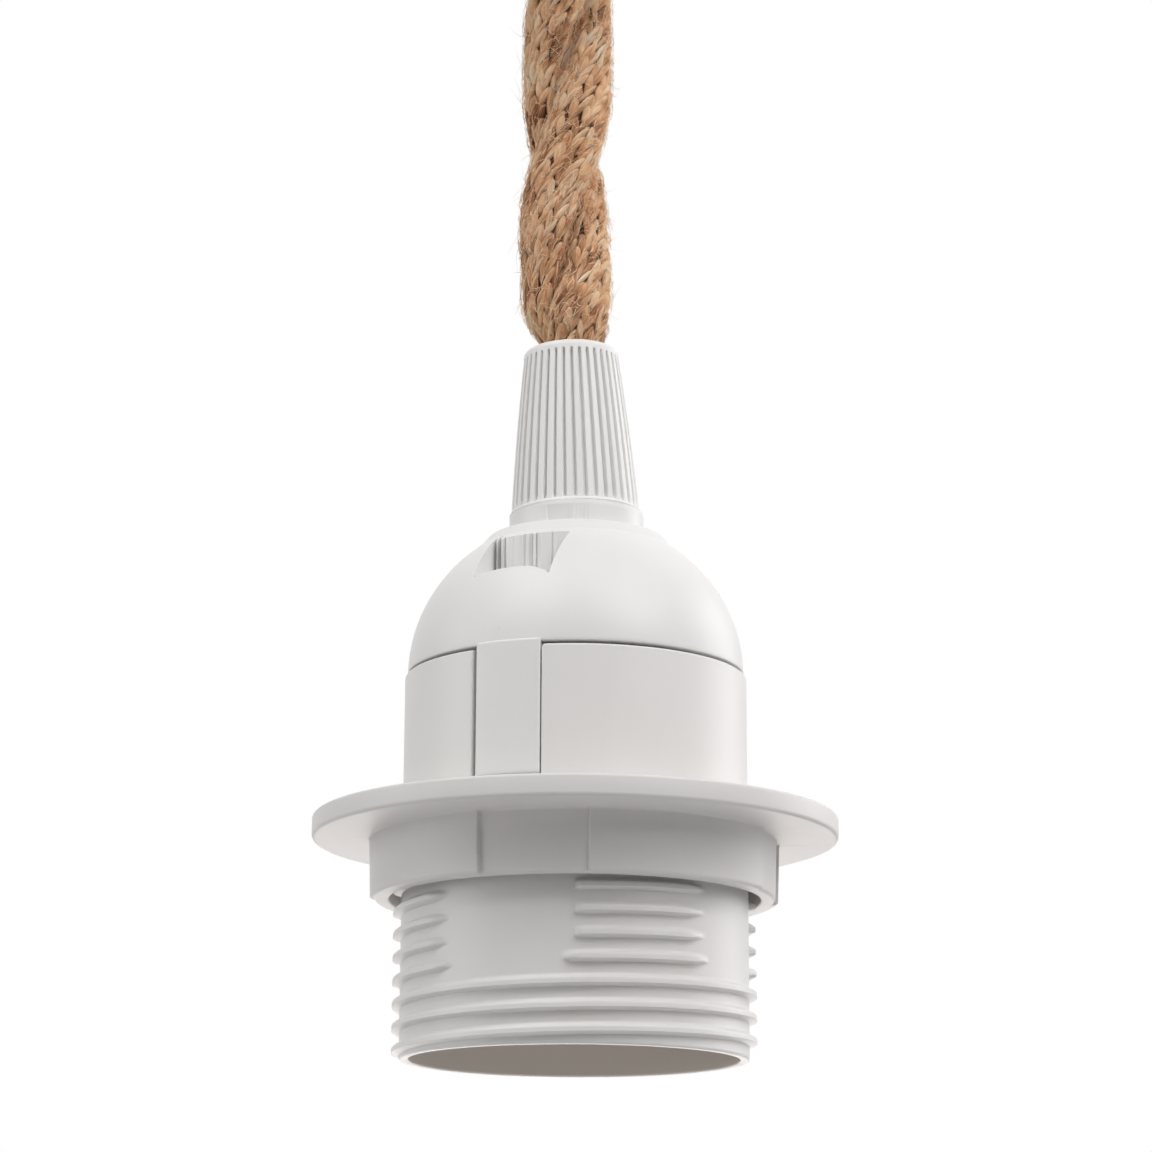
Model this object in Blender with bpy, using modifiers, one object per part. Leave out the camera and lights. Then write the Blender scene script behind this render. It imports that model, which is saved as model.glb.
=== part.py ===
# Pendant lamp holder on a twisted jute cord, with a screw-on shade ring and a plain ceiling cup.
# Metres, +Z up. The origin is on the ceiling, and everything hangs below it on the Z axis.
# Bearings are degrees round the Z axis, counted from -Y (the front) towards +X.

from math import acos, ceil, cos, degrees, pi, radians, sin, sqrt

import bmesh
import bpy
from mathutils import Matrix, Vector

# Fits
seam = 0.0003                  # gap left between touching pieces
around = 40                    # facets round a large turned piece
around_small = 24              # facets round a small turned piece
around_screw = 10

# Outer skirt: the threaded barrel, open at its mouth
skirt_diameter = 0.0382
skirt_length = 0.0424
skirt_wall = 0.00105
skirt_lip = 0.0004             # rounding of the mouth's edge
thread_height = 0.00085        # crest above the barrel, for the 40 mm thread
thread_pitch = 0.0025
thread_crest = 0.0005          # width of a ridge at its crest
thread_root = 0.0015           # width of a ridge where it leaves the barrel
thread_start = 0.0002          # first crest above the mouth
thread_turns = 3               # whole turns at the mouth, before the thread breaks into patches
thread_run_out = 40            # degrees over which a whole ridge fades at each end
patch_count = 4
patch_angle = 46
patch_bearing = 22             # middle of the patch nearest the front
patch_run_out = 11
patch_top = 0.0275             # height of the highest ridge
guard_height = 0.0145          # collar inside the skirt, which keeps fingers off the lamp thread
guard_thickness = 0.0015
bore_wall = 0.0021             # wall above the guard collar
seat_depth = 0.0064            # step below the skirt's upper edge, which carries the terminal base
seat_wall = 0.00135

# Dome cap
dome_step = 0.0003             # the dome is this much slimmer than the skirt
dome_rise = 0.0179             # half height of the ellipse that the dome follows
dome_wall = 0.0018
dome_gap = 0.00045             # dark seam between skirt and dome
tongue_bearing = -22.4
tongue_width = 0.0078
tongue_length = 0.0139
shoulder_radius = 0.0108       # flat step round the neck
shoulder_step = 0.0011
shoulder_fillet = 0.0004
neck_radius = 0.0076
neck_length = 0.0025
neck_bore = 0.0034
stub_radius = 0.0050           # neck's thread inside the nut
stub_length = 0.0080
pocket_floor = 0.0087          # above the dome's edge
pocket_back = 0.0120           # radius of the pocket's back wall
pocket_width = 0.0094
pocket_wall = 0.0012
spigot_wall = 0.0013

# Cord grip nut and collet
nut_length = 0.0202
nut_flange_radius = 0.0076     # lower edge, which spreads a little
nut_foot_radius = 0.00725
nut_foot_height = 0.0012
nut_top_radius = 0.0054
nut_shoulder = 0.0010
nut_wall = 0.0011
groove_count = 38
groove_depth = 0.0004
groove_width = 0.00052
groove_end = 0.0017            # plain band above the grooves
collet_length = 0.0065
collet_wall = 0.0006
collet_slots = 3
collet_slot_width = 0.0008

# Lamp thread and contacts
lamp_bore = 0.01335
shell_sheet = 0.0006
shell_hole = 0.0060
base_thickness = 0.0040
base_fit = 0.0003
barrier_thickness = 0.0030
barrier_height = 0.0085
rivet_radius = 0.0010
rivet_head_radius = 0.0019
rivet_head_height = 0.0006
shell_rivet_x = -0.0082
contact_rivet_x = 0.0042
contact_width = 0.0040
contact_sheet = 0.0004
contact_drop = 0.0030

# Terminals
terminal_x = 0.0060
terminal_length = 0.0080
terminal_width = 0.0060
terminal_height = 0.0070
wire_hole = 0.0016
screw_radius = 0.0011
screw_head_radius = 0.0022
screw_head_height = 0.0014
screw_slot = 0.0006
lead_radius = 0.0012
lead_spacing = 0.0032          # between the two cores where they leave the cord

# Shade ring
ring_diameter = 0.0582
ring_flange = 0.0024
ring_height = 0.0091
ring_top = 0.0265              # above the mouth
ring_wall = 0.0024
ring_edge = 0.0007
ring_taper = 0.0003
pad_count = 4
pad_angle = 60
pad_bearing = 33.7
pad_height = 0.0004
ring_rim = 0.0005

# Cord
cord_radius = 0.0046
cord_pinch = 0.0039            # squeezed inside the nut
cord_ease = 0.0075             # over which it swells again above the nut
cord_drop = 0.0494             # bare cord between the nut and the ceiling gland
cord_tail = 0.0110             # cord above the ceiling cup's base

# Ceiling cup and its fittings
cup_depth = 0.0500
cup_radius = 0.0400
cup_taper = 0.0018
cup_corner = 0.0140
cup_wall = 0.0018
bracket_width = 0.0180
bracket_sheet = 0.0015
bracket_tab = 0.0140
bracket_fit = 0.0006
bracket_slot_x = 0.0262
bracket_slot_length = 0.0080
bracket_slot_radius = 0.0022
cup_screw_drop = 0.0085
cup_screw_radius = 0.0016
cup_screw_head = 0.0032
cup_screw_head_height = 0.0018
cup_screw_reach = 0.0030
gland_length = 0.0120
gland_radius = 0.0078
gland_tip_radius = 0.0062
gland_stub_radius = 0.0060
gland_stub = 0.0070
gland_nut_width = 0.0180
gland_nut_height = 0.0035
gland_screw_drop = 0.0055
gland_screw_radius = 0.0013
block_x = 0.0110
block_length = 0.0130
block_width = 0.0160
block_height = 0.0110
block_pole = 0.0040

# Colours: base colour, roughness, metallic
white_plastic = ((0.80, 0.79, 0.77, 1.0), 0.45, 0.0)
ring_plastic = ((0.78, 0.77, 0.75, 1.0), 0.50, 0.0)
nut_plastic = ((0.76, 0.76, 0.75, 1.0), 0.45, 0.0)
insulating_plastic = ((0.72, 0.70, 0.65, 1.0), 0.55, 0.0)
jute = ((0.52, 0.33, 0.18, 1.0), 0.95, 0.0)
brass = ((0.78, 0.58, 0.28, 1.0), 0.30, 1.0)
steel = ((0.62, 0.62, 0.64, 1.0), 0.35, 1.0)
brown_lead = ((0.20, 0.09, 0.04, 1.0), 0.45, 0.0)
blue_lead = ((0.04, 0.14, 0.42, 1.0), 0.45, 0.0)

# Heights, worked out downwards from the ceiling
cup_base = -cup_depth
gland_tip = cup_base - gland_length
nut_top = gland_tip - cord_drop
nut_bottom = nut_top - nut_length
neck_top = nut_bottom - seam
shoulder_top = neck_top - neck_length

# Radii of the skirt and what fits it
skirt_radius = skirt_diameter / 2
skirt_bore = skirt_radius - skirt_wall
upper_bore = skirt_radius - bore_wall
seat_bore = skirt_radius - seat_wall
crest_radius = skirt_radius + thread_height
dome_radius = skirt_radius - dome_step
spigot_radius = seat_bore - seam
base_radius = seat_bore - base_fit
shell_radius = lamp_bore + shell_sheet

# Heights of the dome and the skirt, which hang from the neck
dome_top = shoulder_top - shoulder_step
dome_edge = dome_top - dome_rise * sqrt(1 - (shoulder_radius / dome_radius) ** 2)
skirt_top = dome_edge - dome_gap
mouth = skirt_top - skirt_length
guard_top = mouth + guard_height + guard_thickness
seat = skirt_top - seat_depth
base_bottom = seat + seam
base_top = base_bottom + base_thickness
shell_top = base_bottom - seam
ring_upper = mouth + ring_top
ring_lower = ring_upper - ring_height
ring_bore = crest_radius + seam
tongue_bottom = skirt_top - tongue_length
tongue_half_angle = degrees(tongue_width / 2 / skirt_radius)
slot_half_angle = degrees((tongue_width / 2 + seam) / skirt_radius)
stub_top = neck_top + stub_length


def new_collection(name):
    collection = bpy.data.collections.new(name)
    bpy.context.scene.collection.children.link(collection)
    return collection


def new_material(name, finish):
    colour, roughness, metallic = finish
    material = bpy.data.materials.new(name)
    material.use_nodes = True
    shader = material.node_tree.nodes["Principled BSDF"]
    shader.inputs["Base Color"].default_value = colour
    shader.inputs["Roughness"].default_value = roughness
    shader.inputs["Metallic"].default_value = metallic
    material.diffuse_color = colour
    return material


def place(name, mesh, finish=None):
    thing = bpy.data.objects.new(name, mesh)
    if finish is None:
        cutters.objects.link(thing)
        thing.hide_render = True
        thing.display_type = "WIRE"
    else:
        pendant.objects.link(thing)
        mesh.materials.append(new_material(name, finish))
    return thing


def mesh_from(shape, name):
    mesh = bpy.data.meshes.new(name)
    shape.to_mesh(mesh)
    shape.free()
    mesh.shade_smooth()
    mesh.set_sharp_from_angle(angle=radians(35))
    return mesh


def turned(name, outline, finish=None, closed=True, steps=around):
    """Turn an outline of (radius, height) points, which runs down its outer side, round Z."""
    shape = bmesh.new()
    points = [shape.verts.new((radius, 0, height)) for radius, height in outline]
    for start, end in zip(points, points[1:]):
        shape.edges.new((start, end))
    if closed:
        shape.edges.new((points[-1], points[0]))
    mesh = bpy.data.meshes.new(name)
    shape.to_mesh(mesh)
    shape.free()
    thing = place(name, mesh, finish)
    screw = thing.modifiers.new("turn", "SCREW")
    screw.steps = steps
    screw.render_steps = steps
    screw.use_merge_vertices = True
    screw.merge_threshold = 0.00001
    screw.use_smooth_shade = True
    return thing


def arc(centre_radius, centre_height, radius, start, end, steps):
    """Points of an arc in the turning plane; angles in degrees from outwards to up."""
    points = []
    for step in range(steps + 1):
        angle = radians(start + (end - start) * step / steps)
        points.append((centre_radius + radius * cos(angle), centre_height + radius * sin(angle)))
    return points


def on_bearing(radius, bearing, height):
    angle = radians(bearing)
    return Vector((radius * sin(angle), -radius * cos(angle), height))


def bent_block(name, inner, outer, bottom, top, bearing, half_angle, finish=None, steps=6):
    """A block bent round the Z axis: a unit cube cut along X, with X as the bearing."""
    shape = bmesh.new()
    bmesh.ops.create_cube(shape, size=1)
    for step in range(1, steps):
        cut = Vector((step / steps - 0.5, 0, 0))
        geometry = shape.verts[:] + shape.edges[:] + shape.faces[:]
        bmesh.ops.bisect_plane(shape, geom=geometry, plane_co=cut, plane_no=(1, 0, 0))
    for vertex in shape.verts:
        across, depth, rise = vertex.co
        radius = inner if depth > 0 else outer
        height = top if rise > 0 else bottom
        vertex.co = on_bearing(radius, bearing + 2 * across * half_angle, height)
    bmesh.ops.recalc_face_normals(shape, faces=shape.faces)
    return place(name, mesh_from(shape, name), finish)


def block(name, low, high, finish=None):
    shape = bmesh.new()
    bmesh.ops.create_cube(shape, size=1)
    low = Vector(low)
    high = Vector(high)
    bmesh.ops.scale(shape, vec=high - low, verts=shape.verts)
    bmesh.ops.translate(shape, vec=(low + high) / 2, verts=shape.verts)
    return place(name, mesh_from(shape, name), finish)


def rod(name, start, end, radius, finish=None, steps=around_small, tip=None):
    """A cylinder from one point to another, or a cone where the tip's radius differs."""
    start = Vector(start)
    end = Vector(end)
    axis = end - start
    turn = Vector((0, 0, 1)).rotation_difference(axis).to_matrix().to_4x4()
    half_facet = Matrix.Rotation(pi / steps, 4, "Z")
    shape = bmesh.new()
    bmesh.ops.create_cone(
        shape, cap_ends=True, segments=steps, radius1=radius,
        radius2=radius if tip is None else tip, depth=axis.length,
        matrix=Matrix.Translation((start + end) / 2) @ turn @ half_facet,
    )
    return place(name, mesh_from(shape, name), finish)


def boolean(thing, other, operation):
    cut = thing.modifiers.new(operation.lower(), "BOOLEAN")
    cut.object = other
    cut.operation = operation
    cut.solver = "EXACT"


def cut_with(thing, *others):
    for other in others:
        boolean(thing, other, "DIFFERENCE")


def join_with(thing, *others):
    for other in others:
        boolean(thing, other, "UNION")


def smooth_route(points, steps):
    """Points along one smooth curve through the given ones."""
    points = [Vector(point) for point in points]
    ends = [2 * points[0] - points[1]] + points + [2 * points[-1] - points[-2]]
    route = []
    for index in range(len(points) - 1):
        before, start, end, after = ends[index:index + 4]
        for step in range(steps):
            t = step / steps
            route.append(0.5 * (
                2 * start + (end - before) * t
                + (2 * before - 5 * start + 4 * end - after) * t ** 2
                + (3 * start - before - 3 * end + after) * t ** 3
            ))
    route.append(points[-1])
    return route


def tube(name, route, radius, finish, resolution=2, radii=None):
    curve = bpy.data.curves.new(name, "CURVE")
    curve.dimensions = "3D"
    curve.bevel_depth = radius
    curve.bevel_resolution = resolution
    curve.use_fill_caps = True
    spline = curve.splines.new("POLY")
    spline.points.add(len(route) - 1)
    for index, point in enumerate(route):
        spline.points[index].co = (*point, 1)
        spline.points[index].radius = 1 if radii is None else radii[index] / radius
    curve.materials.append(new_material(name, finish))
    thing = bpy.data.objects.new(name, curve)
    pendant.objects.link(thing)
    return thing


def add_ridge(shape, first, last, crest_height, run_out):
    """Sweep one ridge of the thread between two bearings, sunk into the barrel and faded at its ends."""
    facet = 360 / around
    inner = skirt_radius - skirt_wall / 2
    bearings = [first]
    bearings += [(step + 0.5) * facet for step in range(ceil(first / facet), ceil(last / facet))]
    bearings = [bearing for bearing in bearings if first <= bearing < last] + [last]
    rings = []
    for bearing in bearings:
        height = crest_height(bearing)
        fade = min(1, (bearing - first) / run_out, (last - bearing) / run_out)
        fade = max(0.0, fade)
        lift = skirt_radius - seam + (thread_height + seam) * sqrt(fade)
        half_root = thread_root / 2 * (0.5 + 0.5 * fade)
        half_crest = thread_crest / 2 * (0.5 + 0.5 * fade)
        low = max(height - half_root, mouth + skirt_lip / 2)
        low_crest = max(height - half_crest, low)
        section = (
            on_bearing(inner, bearing, low),
            on_bearing(lift, bearing, low_crest),
            on_bearing(lift, bearing, height + half_crest),
            on_bearing(inner, bearing, height + half_root),
        )
        rings.append([shape.verts.new(point) for point in section])
    for ring, following in zip(rings, rings[1:]):
        for index in range(4):
            after = (index + 1) % 4
            shape.faces.new((ring[index], ring[after], following[after], following[index]))
    shape.faces.new(rings[0])
    shape.faces.new(reversed(rings[-1]))


def thread_ridges():
    """Three whole turns at the mouth, then patches of ridges that rise in four places."""
    shape = bmesh.new()
    first = -180

    def crest_height(bearing):
        return mouth + thread_start + thread_pitch * (bearing - first) / 360

    whole = thread_turns * 360
    add_ridge(shape, first, first + whole, crest_height, thread_run_out)
    half = patch_angle / 2
    for patch in range(patch_count):
        middle = patch_bearing + patch * 360 / patch_count
        turn = 0
        while crest_height(middle + 360 * turn) < mouth + patch_top:
            bearing = middle + 360 * turn
            if bearing - half > first + whole - thread_run_out:
                add_ridge(shape, bearing - half, bearing + half, crest_height, patch_run_out)
            turn += 1
    bmesh.ops.recalc_face_normals(shape, faces=shape.faces)
    return place("ridges", mesh_from(shape, "ridges"))


def make_skirt():
    outline = [
        (skirt_radius, skirt_top),
        (skirt_radius, mouth + skirt_lip),
        (skirt_radius - skirt_lip / 2, mouth),
        (skirt_bore, mouth),
        (skirt_bore, guard_top - guard_thickness),
        (shell_radius + 2 * seam, guard_top - guard_thickness),
        (shell_radius + 2 * seam, guard_top),
        (upper_bore, guard_top),
        (upper_bore, seat),
        (seat_bore, seat),
        (seat_bore, skirt_top),
    ]
    skirt = turned("outer_skirt", outline, white_plastic)
    for side in (0, 180):
        slot = bent_block(
            f"skirt_slot_{side}", seat_bore / 2, 1.2 * skirt_radius, tongue_bottom - seam,
            skirt_top + 2 * seam, tongue_bearing + side, slot_half_angle,
        )
        cut_with(skirt, slot)
    join_with(skirt, thread_ridges())
    return skirt


def dome_curve(radius, rise, start, end, steps):
    """Points of the ellipse that the dome follows, from one radius out to another."""
    first = acos(start / radius)
    last = acos(min(1, end / radius))
    points = []
    for step in range(steps + 1):
        angle = first + (last - first) * step / steps
        points.append((radius * cos(angle), dome_edge + rise * sin(angle)))
    return points


def pocket_cutter(name, bearing, back, half_width, floor):
    """A block with parallel sides, open outwards and upwards, whose back is round the Z axis."""
    top = shoulder_top + shoulder_step
    cutter = block(name, (-half_width, -1.2 * dome_radius, floor), (half_width, 0, top))
    core = rod(f"{name}_back", (0, 0, floor - shoulder_step), (0, 0, top + shoulder_step), back,
               steps=around)
    cut_with(cutter, core)
    cutter.rotation_euler.z = radians(bearing)
    core.rotation_euler.z = radians(bearing)
    return cutter


def make_dome():
    outline = [
        (stub_radius, stub_top),
        (stub_radius, neck_top),
        (neck_radius, neck_top),
        (neck_radius, shoulder_top),
        (shoulder_radius, shoulder_top),
        (shoulder_radius, dome_top + shoulder_fillet),
    ]
    outline += dome_curve(dome_radius, dome_rise, shoulder_radius + shoulder_fillet, dome_radius, 7)
    spigot_bottom = base_top + seam
    outline += [
        (spigot_radius, dome_edge),
        (spigot_radius, spigot_bottom),
        (neck_bore, spigot_bottom),
        (neck_bore, stub_top),
    ]
    dome = turned("dome_cap", outline, white_plastic)

    spigot_bore = spigot_radius - spigot_wall
    inner = dome_curve(dome_radius - dome_wall, dome_rise - dome_wall, neck_radius, spigot_bore, 5)
    below = dome_edge - 2 * (dome_edge - spigot_bottom)
    hollow_outline = [(0, inner[0][1])] + inner + [(spigot_bore, below), (0, below)]
    hollow = turned("dome_hollow", hollow_outline, closed=False)
    hollow.rotation_euler.z = pi / around
    floor = dome_edge + pocket_floor
    for side in (0, 180):
        housing = pocket_cutter(
            f"pocket_housing_{side}", tongue_bearing + side, pocket_back - pocket_wall,
            pocket_width / 2 + pocket_wall, floor - pocket_wall,
        )
        cut_with(hollow, housing)
    cut_with(dome, hollow)
    for side in (0, 180):
        bearing = tongue_bearing + side
        cut_with(dome, pocket_cutter(f"pocket_{side}", bearing, pocket_back, pocket_width / 2, floor))
        tongue = bent_block(
            f"tongue_{side}", seat_bore, skirt_radius, tongue_bottom, dome_edge + seam,
            bearing, tongue_half_angle,
        )
        join_with(dome, tongue)
    return dome


def nut_surface(height):
    """Outer radius of the nut's cone at a height."""
    share = (height - nut_bottom - nut_foot_height) / (nut_length - nut_foot_height - nut_shoulder)
    return nut_foot_radius + (nut_top_radius - nut_foot_radius) * share


def make_nut():
    foot = nut_bottom + nut_foot_height
    shoulder = nut_top - nut_shoulder
    collet_top = stub_top + seam + collet_length
    cord_hole = cord_pinch + seam
    throat = max(nut_surface(collet_top) - nut_wall, cord_hole + collet_wall)
    outline = [
        (cord_hole, nut_top),
        (cord_hole + 0.5 * (nut_top_radius - cord_hole), nut_top - 0.1 * nut_shoulder),
        (nut_top_radius - 0.15 * nut_shoulder, nut_top - 0.5 * nut_shoulder),
        (nut_top_radius, shoulder),
        (nut_foot_radius, foot),
        (nut_flange_radius, nut_bottom),
        (stub_radius + seam, nut_bottom),
        (stub_radius + seam, stub_top + seam),
        (throat + seam, collet_top + seam),
        (cord_hole, collet_top + seam),
    ]
    nut = turned("cord_grip_nut", outline, nut_plastic, steps=groove_count)

    shape = bmesh.new()
    low = foot + 0.3 * nut_foot_height
    high = nut_top - groove_end
    for index in range(groove_count):
        bearing = (index + 0.25) * 360 / groove_count
        section = []
        for height in (low, high):
            outside = nut_surface(height) + groove_depth
            bottom = nut_surface(height) - groove_depth
            half = groove_width * nut_surface(height) / nut_foot_radius
            section.append((
                on_bearing(bottom, bearing, height),
                on_bearing(outside, bearing + degrees(half / outside), height),
                on_bearing(outside, bearing - degrees(half / outside), height),
            ))
        ends = [[shape.verts.new(point) for point in points] for points in section]
        for corner in range(3):
            after = (corner + 1) % 3
            shape.faces.new((ends[0][corner], ends[0][after], ends[1][after], ends[1][corner]))
        shape.faces.new(ends[0])
        shape.faces.new(reversed(ends[1]))
    bmesh.ops.recalc_face_normals(shape, faces=shape.faces)
    cut_with(nut, place("grooves", mesh_from(shape, "grooves")))

    bottom = stub_top + seam
    collet = turned("cord_grip_collet", [
        (throat, collet_top),
        (stub_radius, bottom),
        (cord_hole, bottom),
        (cord_hole, collet_top),
    ], insulating_plastic, steps=around_small)
    for index in range(collet_slots):
        slot = block(
            f"collet_slot_{index}", (0, -collet_slot_width / 2, bottom + collet_length / 4),
            (2 * stub_radius, collet_slot_width / 2, collet_top + 2 * seam),
        )
        slot.rotation_euler.z = 2 * pi * (index + 0.5) / collet_slots
        cut_with(collet, slot)


def make_ring():
    outer = ring_diameter / 2
    collar = ring_bore + ring_wall - pad_height
    under = ring_upper - ring_flange
    rim = ring_lower + ring_rim
    outline = [
        (outer - ring_edge, ring_upper),
        (outer, ring_upper - ring_edge),
        (outer, under + 0.5 * ring_edge),
        (outer - 0.5 * ring_edge, under),
        (collar, under),
        (collar - ring_taper, rim),
        (collar - ring_taper - ring_rim, ring_lower),
        (ring_bore + ring_rim, ring_lower),
        (ring_bore, rim),
        (ring_bore, ring_upper - ring_rim),
        (ring_bore + ring_rim, ring_upper),
    ]
    ring = turned("shade_ring", outline, ring_plastic)
    for index in range(pad_count):
        bearing = pad_bearing + index * 360 / pad_count
        pad = bent_block(
            f"pad_{index}", collar - ring_wall / 2, collar + pad_height, rim, under + seam,
            bearing, pad_angle / 2, steps=8,
        )
        join_with(ring, pad)
    return ring


def make_lamp_parts():
    shell_foot = guard_top + seam
    turned("lamp_thread_shell", [
        (shell_radius, shell_top),
        (shell_radius, shell_foot),
        (lamp_bore, shell_foot),
        (lamp_bore, shell_top - shell_sheet),
        (shell_hole, shell_top - shell_sheet),
        (shell_hole, shell_top),
    ], brass)
    shell = bpy.data.objects["lamp_thread_shell"]
    rivet_hole = rivet_radius + seam
    below = base_bottom - base_thickness
    cut_with(shell, rod("shell_rivet_hole", (shell_rivet_x, 0, below),
                        (shell_rivet_x, 0, base_top), rivet_hole))

    base = turned("terminal_base", [
        (0, base_top), (base_radius, base_top), (base_radius, base_bottom), (0, base_bottom),
    ], insulating_plastic, closed=False)
    barrier = block(
        "barrier", (-barrier_thickness / 2, -terminal_length / 2, base_top - base_thickness / 2),
        (barrier_thickness / 2, terminal_length / 2, base_top + barrier_height),
    )
    join_with(base, barrier)
    for name, x in (("shell", shell_rivet_x), ("contact", contact_rivet_x)):
        hole = rod(f"base_hole_{name}", (x, 0, below), (x, 0, base_top + base_thickness), rivet_hole)
        cut_with(base, hole)

    leaf_top = base_bottom - seam
    leaf_middle = leaf_top - contact_sheet / 2
    rivet("shell_rivet", shell_rivet_x, shell_top - shell_sheet - seam)
    rivet("centre_contact_rivet", contact_rivet_x, leaf_top - contact_sheet - seam)
    contact(leaf_middle, rivet_hole)


def rivet(name, x, head_top):
    shank_top = base_top
    thing = turned(name, [
        (0, shank_top),
        (rivet_radius, shank_top),
        (rivet_radius, head_top),
        (rivet_head_radius, head_top),
        (rivet_head_radius, head_top - 0.5 * rivet_head_height),
        (0.6 * rivet_head_radius, head_top - rivet_head_height),
        (0, head_top - rivet_head_height),
    ], brass, closed=False, steps=around_screw)
    thing.location.x = x


def contact(top, rivet_hole):
    """The centre contact: a leaf that springs down to the middle and turns up at its free end."""
    tail = sqrt((shell_hole - seam) ** 2 - (contact_width / 2) ** 2)
    route = smooth_route((
        (tail, 0, top),
        (contact_rivet_x - rivet_head_radius - seam, 0, top),
        (0.35 * contact_rivet_x, 0, top - 0.6 * contact_drop),
        (-0.25 * contact_rivet_x, 0, top - contact_drop),
        (-0.9 * contact_rivet_x, 0, top - 0.55 * contact_drop),
    ), 4)
    shape = bmesh.new()
    rows = []
    for point in route:
        near = shape.verts.new(point - Vector((0, contact_width / 2, 0)))
        far = shape.verts.new(point + Vector((0, contact_width / 2, 0)))
        rows.append((near, far))
    for row, following in zip(rows, rows[1:]):
        shape.faces.new((row[0], row[1], following[1], following[0]))
    leaf = place("centre_contact", mesh_from(shape, "centre_contact"), brass)
    sheet = leaf.modifiers.new("sheet", "SOLIDIFY")
    sheet.thickness = contact_sheet
    sheet.offset = 0
    sheet.use_even_offset = True
    hole = rod("leaf_hole", (contact_rivet_x, 0, top - 2 * contact_drop),
               (contact_rivet_x, 0, top + contact_drop), rivet_hole)
    cut_with(leaf, hole)


def slotted_screw(name, tip, head, radius, head_radius, head_height, finish):
    """A slotted cheese-head screw. The tip and the underside of its head are points on its axis."""
    tip = Vector(tip)
    head = Vector(head)
    axis = (head - tip).normalized()
    length = (head - tip).length
    screw = turned(name, [
        (0, length + head_height),
        (0.8 * head_radius, length + head_height),
        (head_radius, length + 0.7 * head_height),
        (head_radius, length),
        (radius, length),
        (radius, 0.4 * radius),
        (0.6 * radius, 0),
        (0, 0),
    ], finish, closed=False, steps=around_screw)
    screw.rotation_euler = Vector((0, 0, 1)).rotation_difference(axis).to_euler()
    screw.location = tip
    slot = block(
        f"{name}_slot", (-2 * head_radius, -screw_slot / 2, length + 0.5 * head_height),
        (2 * head_radius, screw_slot / 2, length + 2 * head_height),
    )
    slot.rotation_euler = screw.rotation_euler
    slot.location = screw.location
    cut_with(screw, slot)


def make_terminals():
    bottom = base_top + seam
    top = bottom + terminal_height
    wire_height = bottom + terminal_height / 2
    lead_start = stub_top
    for name, side, colour in (("live", 1, brown_lead), ("neutral", -1, blue_lead)):
        x = side * terminal_x
        terminal = block(
            f"{name}_terminal", (x - terminal_width / 2, -terminal_length / 2, bottom),
            (x + terminal_width / 2, terminal_length / 2, top), brass,
        )
        wire = rod(f"{name}_wire_hole", (x, -terminal_length, wire_height),
                   (x, terminal_length, wire_height), wire_hole, steps=16)
        tapped = rod(f"{name}_tapped_hole", (x, 0, wire_height), (x, 0, top + terminal_height),
                     screw_radius + seam, steps=16)
        cut_with(terminal, wire, tapped)
        slotted_screw(
            f"{name}_terminal_screw", (x, 0, wire_height + lead_radius + seam),
            (x, 0, top + seam), screw_radius, screw_head_radius, screw_head_height, steel,
        )
        start = side * lead_spacing / 2
        route = smooth_route((
            (start, 0, lead_start),
            (start, 0, lead_start - 0.4 * (lead_start - top)),
            (1.2 * start, 0.2 * terminal_length, top + 0.45 * (dome_radius - terminal_height)),
            (0.75 * x, 0.85 * terminal_length, top + 0.3 * terminal_height),
            (x, 1.15 * terminal_length, wire_height + 0.3 * terminal_height),
            (x, 0.85 * terminal_length, wire_height),
            (x, terminal_length / 4, wire_height),
        ), 2)
        tube(f"{name}_lead", route, lead_radius, colour)


def make_cord():
    """Two covered cores twisted together, as one plain tube that is squeezed inside the nut."""
    low = stub_top + seam
    high = cup_base + cord_tail
    free = nut_top + cord_ease
    spacing = 2 * cord_radius
    count = round((high - low) / spacing) * 2
    route = []
    radii = []
    for step in range(count + 1):
        height = low + (high - low) * step / count
        share = min(1, max(0, (height - nut_top) / (free - nut_top)))
        share = share * share * (3 - 2 * share)
        route.append(Vector((0, 0, height)))
        radii.append(cord_pinch + (cord_radius - cord_pinch) * share)
    tube("jute_cord", route, cord_radius, jute, 3, radii)


def cup_surface(height):
    """Outer radius of the cup's side at a height."""
    return cup_radius + cup_taper * height / (cup_depth - cup_corner)


def make_cup():
    corner_height = cup_base + cup_corner
    corner_radius = cup_radius - cup_taper - cup_corner
    inner_corner = cup_corner - cup_wall
    gland_hole = gland_stub_radius + seam
    outline = [(cup_radius, 0)]
    outline += arc(corner_radius, corner_height, cup_corner, 0, -90, 4)
    outline += [(gland_hole, cup_base), (gland_hole, cup_base + cup_wall)]
    outline += arc(corner_radius, corner_height, inner_corner, -90, 0, 3)
    outline += [(cup_radius - cup_wall, 0)]
    cup = turned("ceiling_cup", outline, white_plastic)
    for side in (-1, 1):
        hole = rod(f"cup_hole_{side}", (side * cup_radius / 2, 0, -cup_screw_drop),
                   (side * 1.2 * cup_radius, 0, -cup_screw_drop), cup_screw_radius + seam, steps=16)
        cut_with(cup, hole)


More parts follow.
